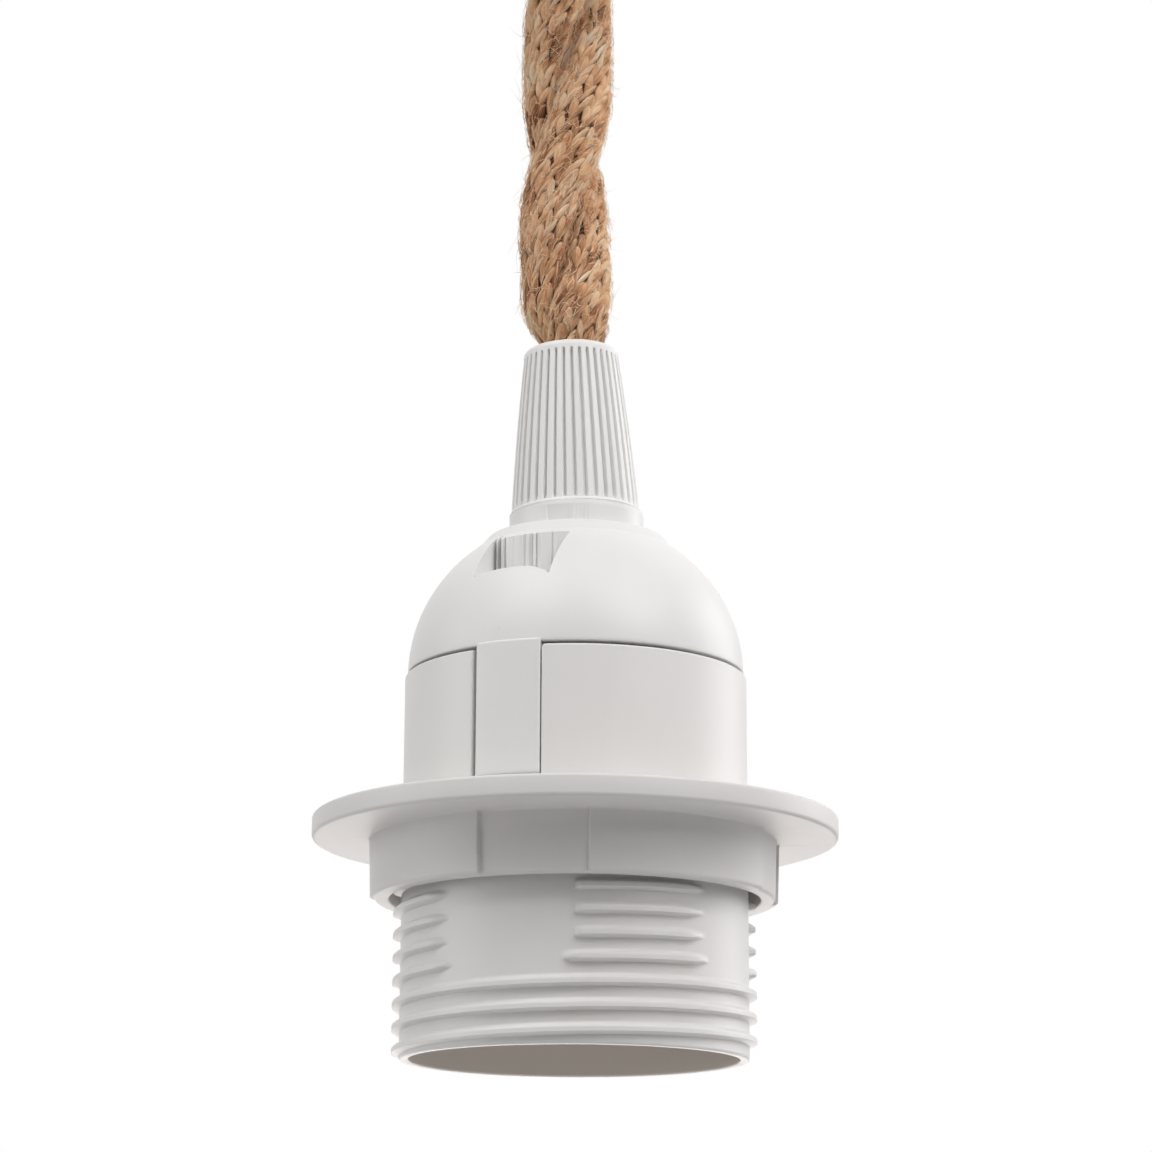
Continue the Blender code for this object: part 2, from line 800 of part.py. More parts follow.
def make_bracket():
    """A strip across the cup's mouth, bent down at both ends for the cup's screws."""
    tab_face = cup_surface(-bracket_tab) - cup_wall - bracket_fit
    corner = bracket_width / 2
    tab_face = sqrt(tab_face ** 2 - corner ** 2)
    middle = tab_face - bracket_sheet / 2
    strip = -bracket_sheet / 2
    shape = bmesh.new()
    rows = []
    for x, height in ((-middle, -bracket_tab), (-middle, strip), (middle, strip), (middle, -bracket_tab)):
        near = shape.verts.new((x, -corner, height))
        far = shape.verts.new((x, corner, height))
        rows.append((near, far))
    for row, following in zip(rows, rows[1:]):
        shape.faces.new((row[0], following[0], following[1], row[1]))
    bracket = place("ceiling_bracket", mesh_from(shape, "ceiling_bracket"), steel)
    sheet = bracket.modifiers.new("sheet", "SOLIDIFY")
    sheet.thickness = bracket_sheet
    sheet.offset = 0
    sheet.use_even_offset = True
    for side in (-1, 1):
        ends = []
        for shift in (-1, 1):
            x = side * bracket_slot_x + shift * (bracket_slot_length / 2 - bracket_slot_radius)
            ends.append(rod(f"slot_end_{side}_{shift}", (x, 0, -3 * bracket_sheet),
                            (x, 0, 2 * bracket_sheet), bracket_slot_radius, steps=16))
        reach = bracket_slot_length / 2 - bracket_slot_radius
        middle_cut = block(
            f"slot_middle_{side}",
            (side * bracket_slot_x - reach, -bracket_slot_radius, -3 * bracket_sheet),
            (side * bracket_slot_x + reach, bracket_slot_radius, 2 * bracket_sheet),
        )
        join_with(middle_cut, *ends)
        tapped = rod(f"tab_hole_{side}", (side * tab_face / 2, 0, -cup_screw_drop),
                     (side * 1.2 * tab_face, 0, -cup_screw_drop), cup_screw_radius + seam, steps=16)
        cut_with(bracket, middle_cut, tapped)
        name = "cup_screw_left" if side < 0 else "cup_screw_right"
        seat_x = cup_surface(-cup_screw_drop) + seam
        slotted_screw(
            name, (side * (tab_face - bracket_sheet - cup_screw_reach), 0, -cup_screw_drop),
            (side * seat_x, 0, -cup_screw_drop), cup_screw_radius, cup_screw_head,
            cup_screw_head_height, steel,
        )


def make_gland():
    bore = cord_radius + seam
    top = cup_base + cup_wall + gland_stub
    flange = cup_base - seam
    gland = turned("ceiling_gland", [
        (gland_stub_radius, top),
        (gland_stub_radius, flange),
        (gland_radius, flange),
        (gland_radius, flange - gland_length / 4),
        (gland_tip_radius, gland_tip + 2 * seam),
        (gland_tip_radius - 2 * seam, gland_tip),
        (bore, gland_tip),
        (bore, top),
    ], nut_plastic, steps=around_small)
    height = cup_base - gland_screw_drop
    hole = rod("gland_screw_hole", (0, 0, height), (0, -2 * gland_radius, height),
               gland_screw_radius + seam, steps=16)
    cut_with(gland, hole)
    slotted_screw(
        "gland_clamp_screw", (0, -bore, height), (0, -gland_radius - seam, height),
        gland_screw_radius, 1.8 * gland_screw_radius, gland_screw_radius, nut_plastic,
    )
    nut_floor = cup_base + cup_wall + seam
    nut = rod("gland_lock_nut", (0, 0, nut_floor), (0, 0, nut_floor + gland_nut_height),
              gland_nut_width / 2 / cos(pi / 6), nut_plastic, steps=6)
    bore_cut = rod("lock_nut_bore", (0, 0, nut_floor - gland_nut_height),
                   (0, 0, nut_floor + 2 * gland_nut_height), gland_stub_radius + seam)
    cut_with(nut, bore_cut)


def make_mains_block():
    top = -bracket_sheet - seam
    bottom = top - block_height
    near = block_x - block_length / 2
    far = block_x + block_length / 2
    middle = (top + bottom) / 2
    body = block("ceiling_terminal_block", (near, -block_width / 2, bottom),
                 (far, block_width / 2, top), insulating_plastic)
    start_height = cup_base + cord_tail + seam
    for name, side, colour in (("live", 1, brown_lead), ("neutral", -1, blue_lead)):
        y = side * block_pole
        wire = rod(f"block_{name}_wire_hole", (near - block_length, y, middle),
                   (far + block_length, y, middle), wire_hole, steps=12)
        tapped = rod(f"block_{name}_tapped_hole", (block_x, y, middle),
                     (block_x, y, bottom - block_height), screw_radius + seam, steps=12)
        cut_with(body, wire, tapped)
        slotted_screw(
            f"ceiling_{name}_screw", (block_x, y, middle - lead_radius - seam),
            (block_x, y, bottom - seam), screw_radius, 1.5 * screw_radius, screw_head_height, steel,
        )
        start = side * lead_spacing / 2
        rise = middle - start_height
        route = smooth_route((
            (0, start, start_height),
            (-0.1 * block_x, 1.2 * start, start_height + 0.3 * rise),
            (-0.35 * block_x, 0.8 * y, start_height + 0.65 * rise),
            (-0.25 * block_x, y, start_height + 0.95 * rise),
            (near - 0.1 * block_length, y, middle),
            (block_x + seam, y, middle),
        ), 2)
        tube(f"ceiling_{name}_lead", route, lead_radius, colour)


for thing in list(bpy.data.objects):
    bpy.data.objects.remove(thing)

pendant = new_collection("pendant_light")
cutters = new_collection("cutters")

make_skirt()
make_dome()
make_nut()
make_ring()
make_lamp_parts()
make_terminals()
make_cord()
make_cup()
make_bracket()
make_gland()
make_mains_block()
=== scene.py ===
# Pendant lamp holder on a twisted jute cord: the finish of every surface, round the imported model.
from math import acos, atan2, cos, degrees, pi, radians, sin, sqrt, tan

import bmesh
import bpy
from mathutils import Matrix, Vector


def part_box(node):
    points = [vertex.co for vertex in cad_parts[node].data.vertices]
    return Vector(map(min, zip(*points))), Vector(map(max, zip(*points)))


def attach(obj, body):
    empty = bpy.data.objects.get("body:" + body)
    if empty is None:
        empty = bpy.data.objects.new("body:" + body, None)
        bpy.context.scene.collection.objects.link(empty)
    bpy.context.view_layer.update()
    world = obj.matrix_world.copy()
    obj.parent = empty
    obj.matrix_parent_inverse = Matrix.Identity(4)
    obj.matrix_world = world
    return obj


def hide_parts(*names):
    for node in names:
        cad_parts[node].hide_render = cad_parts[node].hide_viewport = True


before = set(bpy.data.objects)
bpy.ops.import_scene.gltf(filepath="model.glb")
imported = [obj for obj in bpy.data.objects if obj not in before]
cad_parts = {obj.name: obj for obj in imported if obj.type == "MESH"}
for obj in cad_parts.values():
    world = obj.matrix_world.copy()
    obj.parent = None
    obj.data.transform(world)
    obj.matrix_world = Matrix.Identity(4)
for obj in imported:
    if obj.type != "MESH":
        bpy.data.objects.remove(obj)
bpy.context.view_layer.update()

mm = 0.001
scene = bpy.context.scene


# Places read from the frame
def lowOf(node):
    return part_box(node)[0][2]


def topOf(node):
    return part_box(node)[1][2]


mouth = lowOf("outer_skirt")
skirtTop = topOf("outer_skirt")
nutBottom = lowOf("cord_grip_nut")
nutTop = topOf("cord_grip_nut")
glandTip = lowOf("ceiling_gland")
cupBase = lowOf("ceiling_cup")
cordLow = lowOf("jute_cord")
cordHigh = topOf("jute_cord")


# Node trees written as expressions
class Wire:
    def __init__(self, board, socket):
        self.board = board
        self.socket = socket

    def math(self, operation, *others):
        return self.board.math(operation, self, *others)

    def __add__(self, other):
        return self.math("ADD", other)

    def __radd__(self, other):
        return self.math("ADD", other)

    def __sub__(self, other):
        return self.math("SUBTRACT", other)

    def __rsub__(self, other):
        return self.board.math("SUBTRACT", other, self)

    def __mul__(self, other):
        return self.math("MULTIPLY", other)

    def __rmul__(self, other):
        return self.math("MULTIPLY", other)

    def __truediv__(self, other):
        return self.math("DIVIDE", other)

    def __rtruediv__(self, other):
        return self.board.math("DIVIDE", other, self)

    def __pow__(self, other):
        return self.math("POWER", other)

    def __mod__(self, other):
        return self.math("FLOORED_MODULO", other)

    def __floordiv__(self, other):
        return self.math("DIVIDE", other).math("FLOOR")

    def __neg__(self):
        return self.math("MULTIPLY", -1)

    def __lt__(self, other):
        return self.math("LESS_THAN", other)

    def __gt__(self, other):
        return self.math("GREATER_THAN", other)


class Board:
    def __init__(self, tree):
        self.tree = tree

    def node(self, kind, settings=None, sockets=None, out=0):
        made = self.tree.nodes.new(kind)
        for key, value in (settings or {}).items():  # settings first, since they change the sockets
            if key == "stops":
                self.fillRamp(made.color_ramp, value)
            else:
                setattr(made, key, value)
        for key, value in (sockets or {}).items():
            self.feed(made.inputs[key], value)
        return Wire(self, made.outputs[out])

    def feed(self, socket, value):
        if isinstance(value, Wire):
            self.tree.links.new(value.socket, socket)
        else:
            socket.default_value = value

    def fillRamp(self, ramp, stops):
        while len(ramp.elements) < len(stops):
            ramp.elements.new(1)
        for element, (place, colour) in zip(ramp.elements, stops):
            element.position = place
            element.color = (*colour, 1) if len(colour) == 3 else colour

    def math(self, operation, *values):
        return self.node("ShaderNodeMath", {"operation": operation}, dict(enumerate(values)))

    def mixed(self, factor, first, second):
        return self.node("ShaderNodeMix", {"data_type": "RGBA"}, {0: factor, 6: first, 7: second}, out=2)

    def join(self, x, y, z):
        return self.node("ShaderNodeCombineXYZ", None, {0: x, 1: y, 2: z})

    def split(self, vector):
        made = self.node("ShaderNodeSeparateXYZ", None, {0: vector}).socket.node
        return [Wire(self, made.outputs[axis]) for axis in range(3)]


def sine(value):
    return value.math("SINE")


def cosine(value):
    return value.math("COSINE")


def least(first, second):
    return first.math("MINIMUM", second)


def most(first, second):
    return first.math("MAXIMUM", second)


def between(value, low=0.0, high=1.0):
    return least(most(value, low), high)


def eased(value):
    # smooth step from 0 to 1, of a wire or a plain number
    held = between(value) if isinstance(value, Wire) else max(0.0, min(1.0, value))
    return held * held * (3 - 2 * held)


# Camera: the photograph looks up at the holder from just below its mouth
viewPoint = {
    "distance": 351.16 * mm,
    "below": 34.19 * mm,       # below the mouth's plane
    "aside": -0.03 * mm,
    "tiltUp": 14.178,
    "roll": 0.25,
    "lens": 100.13,
}


def makeCamera():
    data = bpy.data.cameras.new("photoCamera")
    data.lens = viewPoint["lens"]
    data.sensor_width = 36
    data.clip_start = 0.01
    camera = bpy.data.objects.new("photoCamera", data)
    scene.collection.objects.link(camera)
    tilt = Matrix.Rotation(radians(90 + viewPoint["tiltUp"]), 4, "X")
    roll = Matrix.Rotation(radians(viewPoint["roll"]), 4, "Z")
    camera.matrix_world = tilt @ roll
    camera.location = (viewPoint["aside"], -viewPoint["distance"], mouth - viewPoint["below"])
    scene.camera = camera


makeCamera()
print("camera placed")


# Meshes
def objectFrom(name, mesh, material=None):
    thing = bpy.data.objects.new(name, mesh)
    scene.collection.objects.link(thing)
    if material is not None:
        mesh.materials.clear()
        mesh.materials.append(material)
    return thing


def meshFrom(name, points, faces):
    mesh = bpy.data.meshes.new(name)
    mesh.from_pydata([tuple(point) for point in points], [], faces)
    return mesh


def shadeRound(mesh, angle):
    mesh.shade_smooth()
    mesh.set_sharp_from_angle(angle=radians(angle))


def tidied(mesh, distance=0.000002):
    # joins points within the distance, where it isn't 0, and turns all faces outwards
    shape = bmesh.new()
    shape.from_mesh(mesh)
    if distance:
        bmesh.ops.remove_doubles(shape, verts=shape.verts, dist=distance)
        bmesh.ops.dissolve_degenerate(shape, edges=shape.edges, dist=distance / 2)
    bmesh.ops.recalc_face_normals(shape, faces=shape.faces)
    shape.to_mesh(mesh)
    shape.free()
    return mesh


def rounded(corners, steps=5):
    # (radius, height, fillet) corners to points, each fillet an arc that touches both sides
    points = []
    count = len(corners)
    for index, (radius, height, fillet) in enumerate(corners):
        here = Vector((radius, height))
        if not fillet:
            points.append(here)
            continue
        back = (Vector(corners[index - 1][:2]) - here).normalized()
        ahead = (Vector(corners[(index + 1) % count][:2]) - here).normalized()
        half = acos(max(-1, min(1, back.dot(ahead)))) / 2
        reach = fillet / tan(half)
        centre = here + (back + ahead).normalized() * (fillet / sin(half))
        first = here + back * reach - centre
        last = here + ahead * reach - centre
        turn = atan2(first.x * last.y - first.y * last.x, first.dot(last))
        for step in range(steps + 1):
            share = turn * step / steps
            points.append(centre + Vector((
                first.x * cos(share) - first.y * sin(share),
                first.x * sin(share) + first.y * cos(share),
            )))
    return [(point.x, point.y) for point in points]


def lathe(name, outline, columns=None, closed=True, form=None, angles=None):
    # turns (radius, height) points round Z; form(angle, radius, height) may move each one
    angles = angles or [2 * pi * column / columns for column in range(columns)]
    points, faces = [], []
    rows = len(outline)
    for angle in angles:
        for radius, height in outline:
            if form is not None:
                radius, height = form(angle, radius, height)
            points.append((radius * cos(angle), radius * sin(angle), height))
    for column in range(len(angles)):
        start, beside = column * rows, (column + 1) % len(angles) * rows
        for row in range(rows if closed else rows - 1):
            above = (row + 1) % rows
            faces.append((start + row, beside + row, beside + above, start + above))
    return tidied(meshFrom(name, points, faces))


def joinedMesh(name, wall, rest):
    # a grown wall and the rest of its piece as one mesh
    shape = bmesh.new()
    for mesh in (wall.data, rest):
        shape.from_mesh(mesh)
    made = bpy.data.meshes.new(name)
    shape.to_mesh(made)
    shape.free()
    bpy.data.objects.remove(wall)
    return tidied(made, 0.000004)


def carved(thing, *cutters, operation="DIFFERENCE"):
    for cutter in cutters:
        cut = thing.modifiers.new("carve", "BOOLEAN")
        cut.object = cutter
        cut.operation = operation
        cut.solver = "EXACT"
    return settled(thing, *cutters)


def settled(thing, *spent):
    # replaces a piece's mesh by what its modifiers make of it
    graph = bpy.context.evaluated_depsgraph_get()
    mesh = bpy.data.meshes.new_from_object(thing.evaluated_get(graph), depsgraph=graph)
    thing.modifiers.clear()
    thing.data = mesh
    for other in spent:
        bpy.data.objects.remove(other)
    return thing


def weighted(thing):
    # keeps large faces flat in their shading beside small ones
    weigh = thing.modifiers.new("weigh", "WEIGHTED_NORMAL")
    weigh.keep_sharp = True
    return settled(thing)


# Geometry Nodes: a tree with named inputs, whole numbers and measures, grown once into a plain mesh
def newTree(name, numbers, measures):
    tree = bpy.data.node_groups.new(name, "GeometryNodeTree")
    tree.interface.new_socket("Geometry", in_out="OUTPUT", socket_type="NodeSocketGeometry")
    for label in numbers + measures:
        kind = "NodeSocketInt" if label in numbers else "NodeSocketFloat"
        tree.interface.new_socket(label, in_out="INPUT", socket_type=kind)
    board = Board(tree)
    source = tree.nodes.new("NodeGroupInput")
    return board, {label: Wire(board, source.outputs[label]) for label in numbers + measures}


def unitGrid(board, columns, rows):
    # a grid of one by one, and where its points are across it and up it
    grid = board.node("GeometryNodeMeshGrid", None, {
        "Size X": 1.0, "Size Y": 1.0, "Vertices X": columns + 1, "Vertices Y": rows + 1,
    })
    x, y, _ = board.split(board.node("GeometryNodeInputPosition"))
    return grid, x, y


def moved(board, geometry, place):
    return board.node("GeometryNodeSetPosition", None, {"Geometry": geometry, "Position": place})


def endTree(board, geometry, material):
    whole = board.node("GeometryNodeRealizeInstances", None, {0: geometry})
    painted = board.node("GeometryNodeSetMaterial", None, {"Geometry": whole, "Material": material})
    last = board.tree.nodes.new("NodeGroupOutput")
    board.tree.links.new(painted.socket, last.inputs[0])


def grown(name, tree, values):
    host = bpy.data.objects.new(name, bpy.data.meshes.new(name))
    scene.collection.objects.link(host)
    modifier = host.modifiers.new("grow", "NODES")
    modifier.node_group = tree
    for item in tree.interface.items_tree:
        if item.in_out == "INPUT" and item.name in values:
            modifier[item.identifier] = values[item.name]
    return settled(host)


def storedAs(board, geometry, name, value, kind="FLOAT"):
    return board.node("GeometryNodeStoreNamedAttribute", {"data_type": kind, "domain": "POINT"},
                      {"Geometry": geometry, "Name": name, "Value": value})


def attribute(board, name, kind="FLOAT"):
    return board.node("GeometryNodeInputNamedAttribute", {"data_type": kind}, {"Name": name})


def randomly(board, low, high, seed):
    return board.node("FunctionNodeRandomValue", {"data_type": "FLOAT"}, {2: low, 3: high, "Seed": seed}, out=1)


def scattered(board, count, label, seed, ranges, shape):
    # copies of a shape, each with its own number and random values between the given ends
    points = board.node("GeometryNodeMeshLine", None, {"Count": count, "Offset": (0, 0, 0)})
    points = storedAs(board, points, label, board.node("GeometryNodeInputIndex") * 1.0)
    for name, (low, high) in ranges.items():
        points = storedAs(board, points, name, randomly(board, low, high, seed))
        seed += 1
    copies = board.node("GeometryNodeInstanceOnPoints", None, {"Points": points, "Instance": shape})
    return board.node("GeometryNodeRealizeInstances", None, {0: copies})


# Materials: each on its own board, with object coordinates in metres
def newFinish(name, fixed):
    material = bpy.data.materials.new(name)
    material.use_nodes = True
    tree = material.node_tree
    tree.nodes.clear()
    board = Board(tree)
    shader = board.node("ShaderNodeBsdfPrincipled", None, fixed).socket.node
    output = tree.nodes.new("ShaderNodeOutputMaterial")
    tree.links.new(shader.outputs[0], output.inputs[0])
    return material, board, shader


def placeOf(board):
    return board.node("ShaderNodeTexCoord", out=3)


def noise(board, place, scale, detail=3.0, roughness=0.5):
    return board.node("ShaderNodeTexNoise", None, {
        "Vector": place, "Scale": scale, "Detail": detail, "Roughness": roughness,
    })


def bumped(board, shader, height, strength, distance):
    bump = board.node("ShaderNodeBump", None, {
        "Strength": strength, "Distance": distance, "Height": height,
    })
    board.feed(shader.inputs["Normal"], bump)


def attributeColour(board, name):
    return board.node("ShaderNodeAttribute", {"attribute_name": name}, out=1)


def attributeValue(board, name):
    return board.node("ShaderNodeAttribute", {"attribute_name": name}, out=2)


# Jute cord: two covered cores, each knitted round with stitches, twisted right-handed
cordLook = {
    "pitch": 49.5 * mm,
    "sideBySideAt": 92.0 * mm,    # height above the mouth where the cores lie side by side
    "coreDepth": 4.8 * mm,        # towards the cord's axis
    "coreWidth": 6.85 * mm,       # across it
    "coreRound": 3.0 * mm,        # mean radius, for angles along the cover
    "wales": 10,
    "course": 1.60 * mm,
    "legLength": 2.75 * mm,
    "legWidth": 1.08 * mm,
    "legThickness": 0.74 * mm,
    "legSwell": 0.30,             # how much thinner a leg is at its ends
    "legSpread": 0.42,            # of a wale, how far the legs of a stitch part downwards
    "legTuck": 0.55,              # of its thickness, how deep its lower end lies
    "slipAround": 0.06,           # stitches lie off their place by this, in radians round the core
    "slipUp": 0.18,               # and by this share of a course
    "nutRadius": 3.62 * mm,       # squeezed to this in the nut
    "glandRadius": 4.75 * mm,
    "easeOver": 5.0 * mm,
    "sway": -1.25 * mm,           # the cord hangs this far left of the axis at mid height
    "dip": -0.35 * mm,            # and a little further over this stretch above the mouth
    "dipFrom": 89 * mm,
    "dipTo": 106 * mm,
    "dipOver": 8 * mm,
    "nutSway": 0.35,              # share of the sway inside the nut, and of what comes just above it
    "freeSway": 0.65,
    "freeOver": 5.5 * mm,
    "backOver": 9 * mm,           # back on the axis over this, below the gland
    "seed": 7,
    "ranges": {"tone": (0.0, 1.0), "slip": (-1.0, 1.0), "lean": (0.6, 1.4), "plump": (0.75, 1.2)},
}
fuzzLook = {
    "hairs": 5900,
    "hairLength": 3.6 * mm,
    "hairRadius": 0.034 * mm,
    "stray": 1.5 * mm,            # how far the wildest hair stands off
    "seed": 32,
    "ranges": {
        "side": (0.0, 1.0), "round": (0.0, 2 * pi), "up": (0.0, 1.0), "drift": (-1.0, 1.0),
        "heading": (0.0, 1.0), "reach": (0.3, 1.0), "stray": (0.0, 1.0), "tone": (0.5, 2.0),
    },
}
juteLook = {
    "tones": [
        (0.20, (0.260, 0.095, 0.038)),
        (0.36, (0.700, 0.350, 0.170)),
        (0.49, (0.930, 0.550, 0.300)),
        (0.62, (1.000, 0.690, 0.430)),
        (0.78, (1.000, 0.840, 0.620)),
    ],
    # painted shade: the dark colour on each leg's underside and on the cores between the stitches
    "paintedShade": (0.200, 0.075, 0.030, 1),
    "strandScale": (26, 2.2, 7.3),    # round the leg, along it, and from stitch to stitch
    "coarseScale": (8, 1.5, 3.1),
    "blotchScale": 210,
    "strands": 0.55,              # shares of the shade
    "coarse": 0.30,
    "tone": 0.34,
    "blotch": 0.90,
    "darker": 0.58,
}


def scaledBy(board, axes, scales):
    return board.join(*(axis * scale for axis, scale in zip(axes, scales)))


def makeJute():
    material, board, shader = newFinish("knittedJute", {
        "Roughness": 0.82, "Specular IOR Level": 0.25, "Sheen Weight": 0.5, "Sheen Roughness": 0.4,
        "Sheen Tint": (1.0, 0.80, 0.58, 1),
    })
    fibre = board.split(attributeColour(board, "fibre"))
    tone = attributeValue(board, "tone")
    depth = attributeValue(board, "depth")
    strands = noise(board, scaledBy(board, fibre, juteLook["strandScale"]), 1.0, 3.0, 0.6)
    coarse = noise(board, scaledBy(board, fibre, juteLook["coarseScale"]), 1.0, 2.0)
    blotch = noise(board, placeOf(board), juteLook["blotchScale"], 2.0)
    shade = (strands * juteLook["strands"] + coarse * juteLook["coarse"] + tone * juteLook["tone"]
             + blotch * juteLook["blotch"] - juteLook["darker"])
    colour = board.node("ShaderNodeValToRGB", {"stops": juteLook["tones"]}, {0: shade})
    # painted shade: the colour turns to the dark shade colour where "depth" is low, on the legs' undersides and
    # on the cores
    colour = board.mixed(between(depth), juteLook["paintedShade"], colour)
    board.feed(shader.inputs["Base Color"], colour)
    bumped(board, shader, strands + coarse * 0.5, 0.9, 0.00022)
    return material


def swayAt(height):
    # follows the leaning nut, hangs left of the axis, and is back on it in the gland
    nutShare = eased((height - cordLow) / (nutTop - cordLow))
    freeShare = eased((height - nutTop + 1 * mm) / cordLook["freeOver"])
    above = height - mouth
    dipStart = eased((above - cordLook["dipFrom"]) / cordLook["dipOver"])
    dip = dipStart * eased((cordLook["dipTo"] - above) / cordLook["dipOver"])
    down = eased((glandTip - height) / cordLook["backOver"])
    share = nutShare * cordLook["nutSway"] + freeShare * cordLook["freeSway"]
    return down * (share * cordLook["sway"] + dip * cordLook["dip"])


def corePoint(angle, height, lift, side):
    # a point on one core's cover: angle round the core, height, and lift off its surface
    phase = mouth + cordLook["sideBySideAt"]
    turn = (height - phase) * (2 * pi / cordLook["pitch"]) + side * pi
    aboveNut = eased((height - nutTop) / cordLook["easeOver"])
    belowGland = eased((glandTip - height) / cordLook["easeOver"])
    squeezed = cordLook["nutRadius"] / 2
    free = least(aboveNut, belowGland + 0.5)
    halfDepth = squeezed + free * (cordLook["coreDepth"] / 2 - squeezed)
    halfWidth = (free * 0.1 + 0.9) * (cordLook["coreWidth"] / 2)
    normalX = cosine(angle) * halfWidth
    normalY = sine(angle) * halfDepth
    share = lift / (normalX * normalX + normalY * normalY).math("SQRT")
    x = halfDepth + halfDepth * cosine(angle) + normalX * share
    y = halfWidth * sine(angle) + normalY * share
    limit = least(cordLook["nutRadius"] + aboveNut * 4 * mm, cordLook["glandRadius"] + belowGland * 4 * mm)
    held = least(limit / (x * x + y * y + 1e-9).math("SQRT"), 1.0)
    return (
        (x * cosine(turn) - y * sine(turn)) * held + swayAt(height),
        (x * sine(turn) + y * cosine(turn)) * held,
        height,
    )


def makeStitches(board, given, seed):
    # every stitch has a left and a right leg, each a plump yarn laid on the core's cover
    wales = given["Wales"]
    perCore = wales * given["Courses"] * 2
    ball = board.node("GeometryNodeMeshUVSphere", None, {"Segments": 7, "Rings": 7, "Radius": 0.5})
    legMap = Wire(board, ball.socket.node.outputs["UV Map"])
    ball = storedAs(board, ball, "legMap", legMap, "FLOAT_VECTOR")
    legs = scattered(board, perCore * 2, "stitch", seed, cordLook["ranges"], ball)
    stitch = attribute(board, "stitch")
    slip = attribute(board, "slip")
    core = (stitch + 0.5) // perCore
    within = stitch - core * perCore
    pair = (within + 0.5) // 2
    leftRight = (within - pair * 2) * 2 - 1
    course = (pair + 0.5) // wales
    wale = pair - course * wales
    x, y, z = board.split(board.node("GeometryNodeInputPosition"))
    swell = (1.0 - (z * 2 - 0.2) ** 2 * cordLook["legSwell"]) * attribute(board, "plump")
    waleAngle = 2 * pi / wales
    spread = ((0.5 - z) * cordLook["legSpread"] + 0.07) * attribute(board, "lean")
    angle = (wale + 0.5 + leftRight * spread) * waleAngle
    angle = angle + (x * given["Leg Width"] * swell) / cordLook["coreRound"] + slip * cordLook["slipAround"]
    height = given["Bottom"] + (course + (wale % 2) * 0.5 + slip * cordLook["slipUp"]) * given["Course"]
    height = height + z * given["Leg Length"]
    lift = y * given["Leg Thickness"] * swell + (z * cordLook["legTuck"] - 0.05) * given["Leg Thickness"]
    place = board.join(*corePoint(angle, height, lift, core))
    u, v, _ = board.split(attribute(board, "legMap", "FLOAT_VECTOR"))
    legs = storedAs(board, legs, "fibre", board.join(u, v, stitch), "FLOAT_VECTOR")
    # painted shade: a leg's underside, towards the core, gets a low "depth" and so the dark shade colour
    legs = storedAs(board, legs, "depth", (y + 0.42) * 1.6 + 0.25)
    return moved(board, legs, place)


def makeCores(board, given, side):
    # the closed tube under the stitches, coloured mostly in the dark painted shade colour, so it shows as
    # painted shade between them
    around, along = 28, 120
    grid, x, y = unitGrid(board, around, along)
    grid = storedAs(board, grid, "fibre", board.join(x * 9, y * 60, side * 5.0 + x * 0), "FLOAT_VECTOR")
    # painted shade: the cores take mostly the dark shade colour
    grid = storedAs(board, grid, "depth", x * 0 + 0.22)
    height = given["Bottom"] + (y + 0.5) * given["Length"]
    closing = least((0.5 - y.math("ABSOLUTE")) * along * 1.0, 1.0)
    lift = -0.00035 - (1 - closing) * 0.0016
    place = board.join(*corePoint(x * (2 * pi), height, lift, float(side)))
    tube = moved(board, grid, place)
    return board.node("GeometryNodeMergeByDistance", None, {"Geometry": tube, "Distance": 0.00001})


def makeFuzzTree(jute):
    # loose fibres: most lie on the cover in all directions, a few stand off it
    board, given = newTree("juteFuzz", ["Hairs"], ["Bottom", "Length", "Hair Length", "Hair Radius", "Stray"])
    stalk = board.node("GeometryNodeMeshCylinder", {"fill_type": "NGON"}, {
        "Vertices": 3, "Side Segments": 5, "Fill Segments": 1, "Radius": 1.0, "Depth": 1.0,
    })
    hairs = scattered(board, given["Hairs"], "hair", fuzzLook["seed"], fuzzLook["ranges"], stalk)
    x, y, z = board.split(board.node("GeometryNodeInputPosition"))
    along = z + 0.5
    reach = attribute(board, "reach") * given["Hair Length"]
    stray = attribute(board, "stray") ** 8
    thin = given["Hair Radius"] * (1.15 - along)
    drift = attribute(board, "drift")
    heading = attribute(board, "heading") * (2 * pi) + drift * along * 1.6
    sideways, upwards = sine(heading), cosine(heading)
    angle = attribute(board, "round") + sideways * along * reach * 0.7 / cordLook["coreRound"]
    angle = angle + (x * upwards - y * sideways * 0.3) * thin / cordLook["coreRound"]
    height = given["Bottom"] + attribute(board, "up") * given["Length"]
    height = height + upwards * along * reach - x * sideways * thin
    wave = sine(along * 3 + drift * 9)
    lift = 0.00034 + (wave + 1) * 0.00014 + stray * along * along * given["Stray"] + y * thin
    core = attribute(board, "side") > 0.5
    place = board.join(*corePoint(angle, between(height, cordLow + 1.5 * mm, cordHigh - 1 * mm), lift, core))
    hairs = storedAs(board, hairs, "fibre", board.join(x * 0, along, attribute(board, "hair")), "FLOAT_VECTOR")
    hairs = storedAs(board, hairs, "depth", x * 0 + 1.0)
    hairs = moved(board, hairs, place)
    endTree(board, board.node("GeometryNodeSetShadeSmooth", None, {"Geometry": hairs}), jute)
    return board.tree


def makeCoverTree(jute):
    board, given = newTree("knittedCover", ["Wales", "Courses"], [
        "Bottom", "Length", "Course", "Leg Length", "Leg Width", "Leg Thickness",
    ])
    parts = [makeStitches(board, given, cordLook["seed"])]
    parts += [makeCores(board, given, side) for side in (0, 1)]
    join = board.node("GeometryNodeJoinGeometry")
    for part in parts:
        board.tree.links.new(part.socket, join.socket.node.inputs[0])
    smooth = board.node("GeometryNodeSetShadeSmooth", None, {"Geometry": join})
    endTree(board, smooth, jute)
    return board.tree


